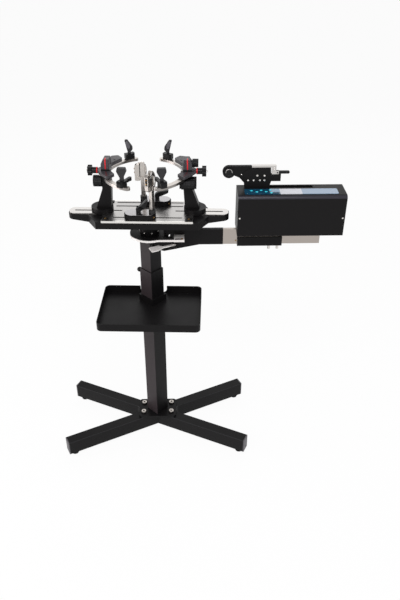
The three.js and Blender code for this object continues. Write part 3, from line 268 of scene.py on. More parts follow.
@dataclass(frozen=True)
class Both:
    """A mask that is one where all of its masks are."""

    masks: tuple[Slab, ...]

    def wire(self, graph: Graph) -> Wire:
        """The product of the masks."""
        return reduce(mul, [mask.wire(graph) for mask in self.masks])


@dataclass(frozen=True)
class Ribs:
    """Ribs round an axis, or straight ribs along it where no centre is given."""

    axis: Axis
    count: float
    depth: float
    centre: Pair | None = None

    def wire(self, graph: Graph) -> Wire:
        """The ribs' height in a material.

        Args:
            graph: The material's nodes.

        Returns:
            The height, from zero to one.
        """
        if self.centre is None:
            phase = graph.along(self.axis, TABLE) * self.count
        else:
            others = [axis for axis in Axis if axis is not self.axis]
            offsets = [graph.along(axis, TABLE) - spot for axis, spot in zip(others, self.centre)]
            phase = offsets[1].angle(offsets[0]) * self.count
        return phase.sine() * 0.5 + 0.5


Region = tuple[Slab | Both, Look]


@dataclass(frozen=True)
class Finish:
    """A surface with its grain, its cloudiness, and the regions that look otherwise.

    The grain and the clouds are counted in cells to the metre. A brushed finish has fewer cells
    along X.
    """

    name: str
    base: Look
    slot: str
    specular: float = 0.5
    painted_sheen_coat: float = 0.0
    grain: float = 900.0
    brushed: float | None = None
    grain_depth: float = 0.02
    cloud: float = 0.12
    regions: tuple[Region, ...] = ()
    ribs: Ribs | None = None
    emission: float = 0.0
    cloud_cells: float = 14.0
    grain_detail: float = 3.0
    cloud_detail: float = 2.0
    grain_share: float = 0.6
    cloud_roughness: float = 0.18
    grain_roughness: float = 0.12
    coat_roughness: float = 0.08

    @cache
    def material(self) -> bpy.types.Material:
        """The finish as a material, made when it is first asked for.

        Returns:
            The material.
        """
        made = bpy.data.materials.new(self.name)
        graph = Graph(made)
        fine = graph.noise((self.brushed or self.grain, self.grain, self.grain), self.grain_detail)
        broad = graph.noise((self.cloud_cells,) * 3, self.cloud_detail)
        darker = tuple(part * (1 - self.cloud) for part in self.base.colour)
        lighter = tuple(part * (1 + self.cloud) for part in self.base.colour)
        share = fine * self.grain_share + broad * (1 - self.grain_share)
        colour = graph.mix(share, darker, lighter)
        roughness = (self.base.roughness + (broad - 0.5) * self.cloud_roughness
                     + (fine - 0.5) * self.grain_roughness)
        metal: Value = self.base.metal
        # Regions hold real marks and also painted highlight, sheen, reflection and shade.
        for mask, look in self.regions:
            inside = mask.wire(graph)
            colour = graph.mix(inside, colour, look.colour)
            roughness = graph.blend(inside, roughness, look.roughness)
            metal = graph.blend(inside, metal, look.metal)
        depth = 1.0 if self.ribs is None else self.ribs.depth
        relief = fine * (self.grain_depth / depth)
        if self.ribs is not None:
            relief = relief + self.ribs.wire(graph)
        fixed = {"Specular IOR Level": self.specular, "Coat Weight": self.painted_sheen_coat,
                 "Coat Roughness": self.coat_roughness, "Emission Strength": self.emission}
        varied = {"Base Color": colour, "Roughness": roughness, "Metallic": metal,
                  "Normal": graph.bump(relief, depth)}
        # Emission paints a glow on a part that is no lamp, as on the panel's buttons.
        if self.emission > 0:
            varied["Emission Color"] = colour
        graph.end_plain(fixed, varied)
        return made


STEEL = Look((0.46, 0.43, 0.40), 0.28, 1.0)
BRIGHT = Look((0.72, 0.69, 0.66), 0.22, 1.0)
BLACK = Look((0.006, 0.006, 0.0065), 0.4)
RED = Look((0.60, 0.015, 0.022), 0.38)
# Painted highlight: a lighter band just under the legs' top edges, where a rounded corner would
# catch a lamp.
LEG_RIDGE_HIGHLIGHT = Look((0.019, 0.0185, 0.021), 0.34)
# Painted sheen: the columns' left-front face warmer and lighter, as if lit by a lamp at the left.
COLUMN_PAINTED_SHEEN = Look((0.034, 0.027, 0.0295), 0.36)
# Painted highlight: a lighter band along the housing cover's front fold.
FOLD_PAINTED_HIGHLIGHT = Look((0.030, 0.0285, 0.036), 0.3)
# Painted reflection: the deck's wings lighter than its middle.
DECK_WING_REFLECTION = Look((0.62, 0.60, 0.58), 0.3, 1.0)
# Painted highlight: bright bands along the deck's front and rear edges.
DECK_EDGE_HIGHLIGHT = Look((0.80, 0.78, 0.75), 0.26, 1.0)
# Painted shade: the side arms' outer walls darker than their tops.
ARM_WALL_SHADE = Look((0.30, 0.28, 0.265), 0.26, 1.0)
CLAMP_DECK = Look((0.40, 0.39, 0.40), 0.2, 1.0)
PANEL_WINDOW = Look((0.50, 0.51, 0.56), 0.2)
PANEL_SCALE = Look((0.20, 0.285, 0.40), 0.2)
PANEL_FADE = Look((0.12, 0.24, 0.36), 0.2)

COATING = Finish("powder_coat", Look((0.0062, 0.0057, 0.0060), 0.42), "black_paint", specular=0.13,
                 grain=1300.0, grain_depth=0.012, cloud=0.2)
PLASTIC = Finish("moulded_plastic", Look((0.0065, 0.0065, 0.0068), 0.34), "black_plastic",
                 specular=0.2, grain=1800.0, grain_depth=0.008, cloud=0.2)
PAD = Finish("grey_pad", Look((0.042, 0.039, 0.044), 0.4), "support_grey", specular=0.4,
             grain=1500.0, grain_depth=0.012)
PADDLE = Finish("paddle_plastic", Look((0.021, 0.0205, 0.022), 0.4), "black_plastic", specular=0.3,
                grain=1500.0, grain_depth=0.012)
INLAY = Finish("paddle_inlay", Look((0.085, 0.082, 0.092), 0.38), "support_grey", specular=0.4,
               grain=1500.0, grain_depth=0.012)
CAP = Finish("end_cap_plastic", Look((0.085, 0.080, 0.088), 0.45), "cap_grey", specular=0.3)
RUBBER = Finish("foot_rubber", Look((0.008, 0.008, 0.008), 0.8), "foot_rubber", specular=0.15,
                grain=700.0, grain_depth=0.05)
BRUSHED = Finish("brushed_rail", Look((0.44, 0.395, 0.36), 0.36, 1.0), "silver", grain=1800.0,
                 brushed=60.0, grain_depth=0.0015, cloud=0.09)
SATIN = Finish("satin_silver", Look((0.60, 0.58, 0.56), 0.27, 1.0), "silver", grain=1500.0,
               brushed=70.0, grain_depth=0.0008, cloud=0.04)
DECK = Finish("deck_plate", Look((0.45, 0.438, 0.428), 0.3, 1.0), "silver", grain=1500.0,
              brushed=70.0, grain_depth=0.0006, cloud=0.04)
POLISHED = Finish("polished_casting", Look((0.57, 0.535, 0.50), 0.3, 1.0), "silver", grain=120.0,
                  cloud=0.08)
LEVER = Finish("zinc_plate", Look((0.80, 0.77, 0.745), 0.36, 0.25), "silver", grain=800.0,
               grain_depth=0.004, cloud=0.06)
PLAIN_STEEL = Finish("plain_steel", STEEL, "steel", grain_depth=0.004)
BOLT = Finish("bright_fastener", BRIGHT, "steel", grain_depth=0.003)
BRASS = Finish("bronze_fastener", Look((0.30, 0.19, 0.08), 0.34, 1.0), "steel", grain_depth=0.003)
STRIPE = Finish("red_marker", RED, "support_grey", grain_depth=0.006, cloud=0.06)
LINE = Finish("dark_red_line", Look((0.085, 0.010, 0.014), 0.45), "support_grey", grain_depth=0.006)
PANEL = Finish("panel_film", Look((0.005, 0.055, 0.105), 0.2), "panel_film", painted_sheen_coat=0.4,
               grain_depth=0.002, cloud=0.04)
# Painted glow: the buttons' film emits light, though the buttons are no lamps.
BUTTON_GLOW = Finish("button_film_painted_glow", Look((0.03, 0.52, 0.62), 0.2), "panel_film", painted_sheen_coat=0.4,
                grain_depth=0.002, cloud=0.05, emission=0.25)


def regional(finish: Finish, name: str, *regions: Region, ribs: Ribs | None = None) -> Finish:
    """A finish under a new name, with regions or ribs of its own."""
    return replace(finish, name=name, regions=regions, ribs=ribs)


def dress(finish: Finish, *names: str) -> None:
    """Gives CAD nodes a finish.

    Args:
        finish: The finish.
        names: The nodes.
    """
    for name in names:
        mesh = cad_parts[name].data
        mesh.materials.clear()
        mesh.materials.append(finish.material())
        LOG.info("dressed %s in %s", name, finish.name)


def place_piece(piece: Piece, body: str, finish: Finish) -> None:
    """Gives a new piece its finish and the body that it rides on.

    Args:
        piece: The piece.
        body: The CAD body.
        finish: The finish.
    """
    piece.data.materials.clear()
    piece.data.materials.append(finish.material())
    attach(piece, body)
    LOG.info("piece %s rides on %s", piece.name, body)


@dataclass(frozen=True)
class Relief:
    """The insets of a face, each by its width and push, and the bevel that rounds the edges.

    Edges that turn by less than the angle, in degrees, stay as they are.
    """

    insets: tuple[Pair, ...]
    edge: float
    segments: int = 2
    angle: float = 30.0

    def proud(self) -> float:
        """How far the innermost face ends outside the outermost."""
        return sum(push for _, push in self.insets)


class Bench:
    """Modelling by Blender's own operators, with sizes in millimetres and places in metres."""

    FACING = 0.9
    SMOOTH = math.radians(35)
    DRIVE_RIM = 0.08
    DRIVE_DEPTH = 0.45
    HEAD_EDGE = 0.22
    ARC_SEGMENTS = (56, 12)
    ARC_EDGE = 0.3
    ARC_ANGLE = 60.0

    @staticmethod
    def clear() -> None:
        """Leaves edit mode and deselects everything."""
        if bpy.context.object is not None and bpy.context.object.mode == "EDIT":
            bpy.ops.object.mode_set(mode="OBJECT")
        bpy.ops.object.select_all(action="DESELECT")

    @classmethod
    def primitive(cls, name: str, add: Callable, scale: Sequence[float], **settings) -> Piece:
        """Adds a primitive, with a scale put into its mesh.

        Args:
            name: The object's name.
            add: The operator that adds it.
            scale: The factors along its own axes.
            settings: What the operator is given.

        Returns:
            The new object.
        """
        cls.clear()
        add(**settings)
        made = bpy.context.object
        made.name = name
        made.scale = scale
        bpy.ops.object.transform_apply(location=False, rotation=False, scale=True)
        return made

    @classmethod
    def rod(cls, name: str, radius: float, length: float, centre: Vector, axis: Vector,
            sides: int = 24, roll: float = 0.0, oval: Pair = (1.0, 1.0)) -> Piece:
        """A cylinder about its centre, rolled about its axis, with two factors on its radius."""
        turn = (axis.to_track_quat("Z", "Y") @ Quaternion((0.0, 0.0, 1.0), roll)).to_euler()
        return cls.primitive(name, bpy.ops.mesh.primitive_cylinder_add, (*oval, 1.0),
                             radius=radius * MM, depth=length * MM, vertices=sides,
                             location=centre, rotation=turn)

    @classmethod
    def block(cls, name: str, size: Sequence[float], centre: Vector, turn: float = 0.0,
              tilt: float = 0.0) -> Piece:
        """A block about its centre, tilted about X and then turned about Z."""
        return cls.primitive(name, bpy.ops.mesh.primitive_cube_add, Vector(size) * MM, size=1.0,
                             location=centre, rotation=(tilt, 0.0, turn))

    @staticmethod
    def pick(piece: Piece, wanted: Callable[[Vector, Vector], bool]) -> None:
        """Selects faces by their place and normal, in edit mode.

        Args:
            piece: The object.
            wanted: Says of a face's centre and normal, in the part's frame, whether it is picked.
        """
        bpy.ops.object.mode_set(mode="EDIT")
        bpy.ops.mesh.select_mode(type="FACE")
        bpy.ops.mesh.select_all(action="DESELECT")
        edited = bmesh.from_edit_mesh(piece.data)
        spin = piece.matrix_world.to_3x3()
        for face in edited.faces:
            centre = piece.matrix_world @ face.calc_center_median()
            face.select_set(wanted(centre, (spin @ face.normal).normalized()))
        bmesh.update_edit_mesh(piece.data)

    @classmethod
    def finish_off(cls, piece: Piece, relief: Relief) -> Piece:
        """Rounds the edges, smooths the shading and puts the place into the mesh.

        Args:
            piece: The object.
            relief: The bevel.

        Returns:
            The same object.
        """
        cls.clear()
        piece.select_set(True)
        bpy.context.view_layer.objects.active = piece
        bevel = piece.modifiers.new("rounded_edges", "BEVEL")
        bevel.width = relief.edge * MM
        bevel.segments = relief.segments
        bevel.limit_method = "ANGLE"
        bevel.angle_limit = math.radians(relief.angle)
        bpy.ops.object.modifier_apply(modifier=bevel.name)
        bpy.ops.object.transform_apply(location=True, rotation=True, scale=True)
        bpy.ops.object.shade_smooth_by_angle(angle=cls.SMOOTH)
        return piece

    @classmethod
    def faced(cls, piece: Piece, way: Vector, relief: Relief, both: bool = False) -> Piece:
        """Insets the faces that look one way and finishes the piece off.

        Args:
            piece: The object.
            way: The direction in which the faces look.
            relief: The insets, one inside the other, and the bevel.
            both: Whether the faces on the other side are inset too.

        Returns:
            The same object.
        """
        def looks_there(_: Vector, normal: Vector) -> bool:
            """Whether a face looks the wanted way."""
            share = normal.dot(way)
            return (abs(share) if both else share) > cls.FACING

        cls.pick(piece, looks_there)
        for width, push in relief.insets:
            bpy.ops.mesh.inset(thickness=width * MM, depth=push * MM)
        return cls.finish_off(piece, relief)

    @classmethod
    def together(cls, name: str, pieces: Sequence[Piece]) -> Piece:
        """Joins finished pieces into one object.

        Args:
            name: The joined object's name.
            pieces: The pieces.

        Returns:
            The joined object.
        """
        cls.clear()
        for piece in pieces:
            piece.select_set(True)
        bpy.context.view_layer.objects.active = pieces[0]
        bpy.ops.object.join()
        pieces[0].name = name
        return pieces[0]

    @classmethod
    def row(cls, piece: Piece, moves: Sequence[Matrix]) -> Piece:
        """Copies a finished piece, each copy with its own mesh, and joins the copies to it.

        Args:
            piece: The piece.
            moves: How each copy lies to the piece, in the part's frame.

        Returns:
            The joined object.
        """
        pieces = [piece]
        for move in moves:
            made = piece.copy()
            made.data = piece.data.copy()
            made.data.transform(move)
            bpy.context.collection.objects.link(made)
            pieces.append(made)
        return cls.together(piece.name, pieces)

    @staticmethod
    def shifts(spots: Sequence[Vector]) -> list[Matrix]:
        """The moves from the first place to each of the others."""
        return [Matrix.Translation(spot - spots[0]) for spot in spots[1:]]

    @classmethod
    def screw(cls, name: str, centre: Vector, axis: Vector, radius: float, height: float,
              drive: float = 0.5) -> Piece:
        """A round screw head with a sunk drive.

        Args:
            name: The object's name.
            centre: The middle of the face that it sits on.
            axis: The direction in which it stands, of length one.
            radius: The head's radius.
            height: The head's height.
            drive: The drive's share of the radius.

        Returns:
            The new head.
        """
        head = cls.rod(name, radius, height, centre + axis * height * MM / 2, axis)
        insets = ((radius * (1 - drive), 0.0), (radius * cls.DRIVE_RIM, -height * cls.DRIVE_DEPTH))
        return cls.faced(head, axis, Relief(insets, min(height, radius) * cls.HEAD_EDGE))

    @classmethod
    def screws(cls, name: str, spots: Sequence[Vector], axis: Vector, *sizes: float) -> Piece:
        """Like screw heads that stand the same way, by their places and sizes, as one piece."""
        return cls.row(cls.screw(name, spots[0], axis, *sizes), cls.shifts(spots))

    @classmethod
    def arc(cls, name: str, radii: Pair, section: Pair, centre: Vector, axis: Vector,
            kept: Callable[[Vector], bool]) -> Piece:
        """Part of an upright oval ring, with closed ends.

        Args:
            name: The object's name.
            radii: The ring's half width and half height.
            section: Half the band's width and half its thickness.
            centre: Its centre.
            axis: The direction of the ring's axis.
            kept: Says of a face's centre whether the ring goes on there.

        Returns:
            The new piece.
        """
        cls.clear()
        segments = cls.ARC_SEGMENTS
        turn = axis.to_track_quat("Z", "Y").to_euler()
        bpy.ops.mesh.primitive_torus_add(
            major_radius=radii[0] * MM, minor_radius=section[0] * MM, major_segments=segments[0],
            minor_segments=segments[1], location=centre, rotation=turn)
        ring = bpy.context.object
        ring.name = name
        ring.scale = (1.0, radii[1] / radii[0], section[1] / section[0])
        bpy.context.view_layer.update()
        cls.pick(ring, lambda spot, normal: not kept(spot))
        bpy.ops.mesh.delete(type="FACE")
        bpy.ops.mesh.select_all(action="SELECT")
        bpy.ops.mesh.fill_holes(sides=0)
        bpy.ops.mesh.select_all(action="SELECT")
        bpy.ops.mesh.normals_make_consistent(inside=False)
        return cls.finish_off(ring, Relief((), section[1] * cls.ARC_EDGE, angle=cls.ARC_ANGLE))


@dataclass
class Stand:
    """Crossed legs with their caps and feet, the bolted plate, both columns and the tray."""

    bolt_span: Pair = (115.0, 55.0)
    bolt_size: Place = (10.5, 6.6, 0.36)
    washer_top: float = 90.9
    column_half: float = 30.0
    inner_half: float = 26.16
    painted_sheen: Pair = (-1.0, 0.4)
    leg_ridge_highlight: Pair = (75.2, 78.9)
    corners: tuple[str, ...] = ("front_left", "front_right", "rear_left", "rear_right")

    def build(self) -> None:
        """Dresses the nodes, with painted highlight on the legs and painted sheen on the columns,
        and caps the four bolts.
        """
        dress(COATING, "base_plate", "tool_tray")
        # Painted highlight along the legs' top edges.
        ridge = (Slab(Axis.Z, *self.leg_ridge_highlight), LEG_RIDGE_HIGHLIGHT)
        dress(regional(COATING, "leg_coat_ridge_highlight", ridge), "cross_legs")
        # Painted sheen on each column's left-front face.
        for name, half in (("outer_column", self.column_half), ("inner_column", self.inner_half)):
            face = Slab(Axis.X, self.painted_sheen[0] - half, self.painted_sheen[1] - half, COLUMN)
            dress(regional(COATING, f"{name}_coat", (face, COLUMN_PAINTED_SHEEN)), name)
        for corner in self.corners:
            dress(CAP, f"{corner}_leg_cap")
            dress(RUBBER, f"{corner}_foot")
        dress(PLASTIC, "height_pin")
        across, deep = self.bolt_span
        spots = [MACHINE.point(x * across / 2, y * deep / 2, self.washer_top) for x, y in QUARTERS]
        place_piece(Bench.screws("plate_bolts", spots, UP, *self.bolt_size), "stand", PLAIN_STEEL)


@dataclass
class Brake:
    """Brake disc with its band, its foot on the arm and its lock lever."""

    foot_spot: Place = (114.0, -60.0, 929.1)
    foot_insert: Pair = (4.2, 1.6)
    slot_spot: Place = (102.0, -60.0, 928.8)
    slot_size: Place = (26.0, 6.0, 1.0)
    slot_relief: Relief = Relief(((1.0, -0.4),), 0.3)
    lever_pin: Place = (84.0, -38.0, 896.0)
    lever_bolt: Pair = (5.2, 3.2)
    web_low: Place = (71.5, -23.0, 904.0)
    web_high: Place = (84.0, -15.0, 931.0)
    web_relief: Relief = Relief(((1.5, 0.0), (0.5, -0.6)), 0.8, 3)
    hub_level: float = 938.0
    hub_radius: float = 34.0
    hub_start: float = math.radians(18)
    hub_count: int = 8
    hub_screw: Pair = (3.0, 2.2)

    def build(self) -> None:
        """Dresses the nodes and adds the foot's slot, the arm's web and the fasteners."""
        dress(COATING, "brake_disc")
        dress(LEVER, "brake_band", "brake_lever")
        slot = Bench.block("brake_foot_slot", self.slot_size, MACHINE.point(*self.slot_spot))
        place_piece(Bench.faced(slot, UP, self.slot_relief), "upper_column", PLASTIC)
        place_piece(self.web(), "upper_column", COATING)
        foot, pin = MACHINE.point(*self.foot_spot), MACHINE.point(*self.lever_pin)
        insert = Bench.screw("brake_foot_insert", foot, UP, *self.foot_insert)
        place_piece(insert, "upper_column", BRASS)
        bolt = Bench.screw("brake_lever_bolt", pin, UP, *self.lever_bolt)
        place_piece(bolt, "brake_lever", BOLT)
        place_piece(self.hub_screws(), "turntable", BOLT)

    def web(self) -> Piece:
        """Plate of the arm between the disc's edge and the band's foot, under the guard.

        Returns:
            The plate.
        """
        size = [high - low for low, high in zip(self.web_low, self.web_high)]
        middle = [(high + low) / 2 for low, high in zip(self.web_low, self.web_high)]
        plate = Bench.block("arm_web", size, MACHINE.point(*middle))
        return Bench.faced(plate, FRONT, self.web_relief)

    def hub_screws(self) -> Piece:
        """Small screw heads round the hub's collar.

        Returns:
            The heads as one piece.
        """
        hub = TABLE.point(0.0, 0.0, self.hub_level)
        out = TABLE.direction(math.cos(self.hub_start), math.sin(self.hub_start), 0.0)
        first = Bench.screw("hub_screws", hub + out * self.hub_radius * MM, out, *self.hub_screw)
        there, back = Matrix.Translation(hub), Matrix.Translation(-hub)
        moves = [there @ Matrix.Rotation(2 * math.pi * number / self.hub_count, 4, "Z") @ back
                 for number in range(1, self.hub_count)]
        return Bench.row(first, moves)


@dataclass
class Arm:
    """Black arm and the silver rail that it holds."""

    hole: Place = (303.0, -26.0, 904.0)
    screw_size: Pair = (2.8, 0.9)

    def build(self) -> None:
        """Dresses both nodes and adds the rail's small set screw."""
        dress(COATING, "arm_tube")
        dress(BRUSHED, "arm_rail")
        screw = Bench.screw("rail_set_screw", MACHINE.point(*self.hole), FRONT, *self.screw_size)
        place_piece(screw, "upper_column", BRASS)


@dataclass
class Turntable:
    """Spinning body and its slotted silver deck with the corner blocks."""

    deck_top: float = 1009.0
    # Spans of the painted reflection on the deck's wings and the painted highlight on its edges.
    wing_reflection: Pair = (165.0, 290.0)
    edges: Pair = (78.0, 91.5)
    block: Place = (25.0, 17.0, 2.4)
    block_x: float = 141.0
    block_y: float = 69.5
    block_relief: Relief = Relief(((1.6, 0.5),), 0.5)
    screw_size: Pair = (4.6, 1.8)

    def build(self) -> None:
        """Dresses the nodes, with painted light on the deck, and adds low black corner blocks with
        their screws.
        """
        dress(COATING, "turntable_body")
        # Painted reflection on the deck's wings and painted highlight along its front and rear
        # edges.
        wing_reflection = (Slab(Axis.X, *self.wing_reflection, TABLE, folded=True), DECK_WING_REFLECTION)
        edges = (Slab(Axis.Y, *self.edges, TABLE, folded=True), DECK_EDGE_HIGHLIGHT)
        dress(regional(DECK, "deck_silver_painted_light", wing_reflection, edges), "turntable_deck")
        half = self.block[2] / 2
        spots = [TABLE.point(x * self.block_x, y * self.block_y, self.deck_top + half)
                 for x, y in QUARTERS]
        first = Bench.block("corner_blocks", self.block, spots[0], TABLE_TURN)
        Bench.faced(first, UP, self.block_relief)
        place_piece(Bench.row(first, Bench.shifts(spots)), "turntable", PLASTIC)
        tops = [spot + UP * (half + self.block_relief.proud()) * MM for spot in spots]
        place_piece(Bench.screws("corner_screws", tops, UP, *self.screw_size), "turntable", BRASS)


@dataclass(frozen=True)
class Mark:
    """A low strip on the right head support, which the left one has mirrored."""

    name: str
    size: Place
    centre: Place
    finish: Finish
    way: Vector
    relief: Relief
    turn: float = 0.0
    tilt: float = 0.0


@dataclass
class TowerSide:
    """One tower with its head support, side arm, knobs, blocks and paddles."""

    side: str
    sign: int
    knob_centre: Pair
    leaf_x: float
    leaf_y: float = 121.4
    leaf_level: float = 1199.6
    leaf_half: Pair = (6.6, 13.5)
    leaf_thickness: float = 1.4
    leaf_sides: int = 32
    leaf_relief: Relief = Relief(((1.2, 0.3),), 0.35)
    leaf_lean: float = math.radians(20)
    leaf_slope: float = math.radians(9.8)
    arm_wall_shade: Pair = (1141.0, 1150.6)
    screw_thread: Pair = (120.0, 165.2)
    screw_washer: Pair = (165.2, 168.7)
    screw_tip: Pair = (198.1, 210.0)
    pad_ribs: Ribs = Ribs(Axis.Z, 2.1, 0.35)
    knob_ribs: Pair = (22, 0.5)
    lock_ribs: Ribs = Ribs(Axis.X, 18, 0.4, (14.0, 1179.0))
    marks: tuple[Mark, ...] = (
        Mark("stripe", (4.2, 1.0, 32.76), (136.0, -16.1, 1183.22), STRIPE, FRONT,
             Relief(((0.8, 0.3),), 0.25), tilt=-math.atan2(3.0, 48.0)),
        Mark("stripe_cap", (4.2, 13.0, 0.8), (136.0, -7.5, 1199.7), STRIPE, UP,
             Relief(((0.8, 0.2),), 0.2)),
        Mark("wall_foot_band", (29.5, 2.6, 5.0), (136.5, -18.2, 1163.2), PLASTIC, FRONT,
             Relief(((0.7, -0.3),), 0.4)),
        Mark("lobe_line", (math.hypot(11.0, 40.5), 2.2, 0.6), (130.5, -39.75, 1160.75), LINE, UP,
             Relief(((0.4, 0.15),), 0.15), turn=math.atan2(40.5, 11.0)),
    )

    def build(self) -> None:
        """Dresses the nodes, with painted shade on the side arm's walls, and adds the support's
        marks and the rear paddle's pad.
        """
        name = self.side
        dress(COATING, f"{name}_tower")
        # Painted shade on the side arm's walls, below its top.
        wall_shade = (Slab(Axis.Z, *self.arm_wall_shade), ARM_WALL_SHADE)
        dress(regional(POLISHED, "side_arm_casting_wall_shade", wall_shade), f"{name}_side_arm")
        dress(regional(PAD, f"{name}_ribbed_pad", ribs=self.pad_ribs), f"{name}_head_support")
        ribs = Ribs(Axis.X, *self.knob_ribs, self.knob_centre)
        dress(regional(PLASTIC, f"{name}_ribbed_knob", ribs=ribs), f"{name}_side_knob")
        rings = [(Slab(Axis.X, *span, TABLE, folded=True), look) for span, look in
                 ((self.screw_washer, RED), (self.screw_thread, STEEL), (self.screw_tip, BRIGHT))]
        dress(regional(PLASTIC, "star_screw", *rings), f"{name}_head_screw")
        for end in ("front", "rear"):
            dress(PLASTIC, f"{name}_{end}_support_block")
            dress(PADDLE, f"{name}_{end}_paddle")
        if name == "right":
            dress(regional(PLASTIC, "lock_knob", ribs=self.lock_ribs), "right_lock_knob")
        for mark in self.marks:
            place_piece(self.strip(mark), f"{name}_head_support", mark.finish)
        place_piece(self.leaf_inlay(), f"{name}_rear_paddle", INLAY)

    def strip(self, mark: Mark) -> Piece:
        """One mark of the head support, mirrored on the left side.

        Args:
            mark: The mark.

        Returns:
            The strip.
        """
        spot = TABLE.point(self.sign * mark.centre[0], *mark.centre[1:])
        strip = Bench.block(f"{self.side}_{mark.name}", mark.size, spot,
                            TABLE_TURN + self.sign * mark.turn, mark.tilt)
        return Bench.faced(strip, mark.way, mark.relief)

    def leaf_inlay(self) -> Piece:
        """Grey oval pad on the front of the rear paddle's blade.

        Returns:
            The pad.
        """
        spot = TABLE.point(self.leaf_x, self.leaf_y, self.leaf_level)
        out = TABLE.direction(0.0, -math.cos(self.leaf_slope), math.sin(self.leaf_slope))
        pad = Bench.rod(f"{self.side}_leaf_inlay", 1.0, self.leaf_thickness, spot, out,
                        self.leaf_sides, self.sign * -self.leaf_lean, self.leaf_half)
        return Bench.faced(pad, out, self.leaf_relief)


@dataclass
class StringClamp:
    """One string clamp: its base, lock lever, swivel post and jaws.

    Places on its head are counted out to the moving jaw, aside, and up from the head's foot.
    """

    end: str
    post: Pair
    base: Pair
    head_turn: float
    head_low: float
    bail_side: int
    base_deck: float = 1026.3
    deck_band: Pair = (-0.4, 0.1)
    collar_height: float = 12.4
    recess_spot: Place = (27.1, 0.0, 34.0)
    recess_size: Place = (1.2, 8.0, 26.0)
    recess_relief: Relief = Relief(((1.0, -0.35),), 0.3)
    adjuster_spots: tuple[Place, ...] = ((27.3, 0.0, 28.0), (27.3, 0.0, 42.0))
    adjuster_size: Pair = (2.8, 2.2)
    # Place and size of the painted shade by the slit between the jaws.
    slit_shade_spot: Place = (9.4, 7.1, 35.0)
    slit_shade_size: Place = (2.2, 0.9, 44.0)
    slit_shade_relief: Relief = Relief(((0.5, 0.1),), 0.2)
    bail_spot: Place = (4.0, 9.4, 33.0)
    bail_radii: Pair = (14.0, 25.0)
    bail_section: Pair = (4.4, 1.9)
    bail_end: Pair = (4.0, 15.0)
    screw_shift: float = 27.0
    screw_level: float = 1017.0
    screw_reach: float = 26.8
    screw_angle: float = math.radians(-42.0)
    screw_size: Pair = (3.4, 1.6)

    def __post_init__(self) -> None:
        """Works out how the head stands: its turn, its way out and its way aside."""
        self.turn = TABLE_TURN + math.radians(self.head_turn)
        self.out = Vector((-math.cos(self.turn), -math.sin(self.turn), 0.0))
        self.aside = Vector((-math.sin(self.turn), math.cos(self.turn), 0.0))

    def spot(self, out: float, aside: float, rise: float) -> Vector:
        """A place on the head."""
        foot = TABLE.point(*self.post, self.head_low + rise)
        return foot + (self.out * out + self.aside * aside) * MM

    def build(self) -> None:
        """Dresses the nodes and adds the head's recess, adjusters, painted slit shade and cam
        lever.
        """
        name = self.end
        low, high = self.deck_band
        top = (Slab(Axis.Z, self.base_deck + low, self.base_deck + high), CLAMP_DECK)
        dress(regional(COATING, "clamp_base", top), f"{name}_clamp_base")
        dress(PLASTIC, f"{name}_clamp_lever")
        collar = (Slab(Axis.Z, self.base_deck, self.base_deck + self.collar_height), BLACK)
        dress(regional(POLISHED, "clamp_post", collar), f"{name}_clamp_post")
        dress(POLISHED, f"{name}_clamp_jaw")
        recess = Bench.block(f"{name}_jaw_recess", self.recess_size, self.spot(*self.recess_spot),
                             self.turn)
        Bench.faced(recess, self.out, self.recess_relief)
        place_piece(recess, f"{name}_clamp_jaw", PLASTIC)
        spots = [self.spot(*place) for place in self.adjuster_spots]
        adjusters = Bench.screws(f"{name}_jaw_adjusters", spots, self.out, *self.adjuster_size)
        place_piece(adjusters, f"{name}_clamp_jaw", BRASS)
        # Dark strips by the slit between the jaws: painted shade.
        place_piece(self.slit_shade(), f"{name}_clamp_post", PLASTIC)
        place_piece(self.bail(), f"{name}_clamp_post", BOLT)
        place_piece(self.base_screw(), f"{name}_clamp_base", BRASS)

    def slit_shade(self) -> Piece:
        """Painted shade: dark strips down both sides of the slit between the jaws, on the fixed
        one.

        Returns:
            The strips as one piece.
        """
        out, aside, rise = self.slit_shade_spot
        spots = [self.spot(out, sign * aside, rise) for sign in (-1, 1)]
        first = Bench.block(f"{self.end}_clamp_slit", self.slit_shade_size, spots[0], self.turn)
        Bench.faced(first, self.aside, self.slit_shade_relief, both=True)
        return Bench.row(first, Bench.shifts(spots))

    def bail(self) -> Piece:
        """Bright cam lever that curves over the side of the jaws.

        Returns:
            The lever.
        """
        out, aside, rise = self.bail_spot
        centre = self.spot(out, aside * self.bail_side, rise)
        reach, level = self.bail_end

        def kept(place: Vector) -> bool:
            """True but for the quarter under the lever's outer end."""
            offset = place - centre
            return offset.dot(self.out) < reach * MM or offset.z > level * MM

        return Bench.arc(f"{self.end}_cam_lever", self.bail_radii, self.bail_section, centre,
                         self.aside * self.bail_side, kept)

    def base_screw(self) -> Piece:
        """Small bronze screw in the base's right end.

        Returns:
            The screw.
        """
        out = TABLE.direction(math.cos(self.screw_angle), math.sin(self.screw_angle), 0.0)
        centre = TABLE.point(self.base[0] + self.screw_shift, self.base[1], self.screw_level)
        return Bench.screw(f"{self.end}_base_screw", centre + out * self.screw_reach * MM, out,
                           *self.screw_size)


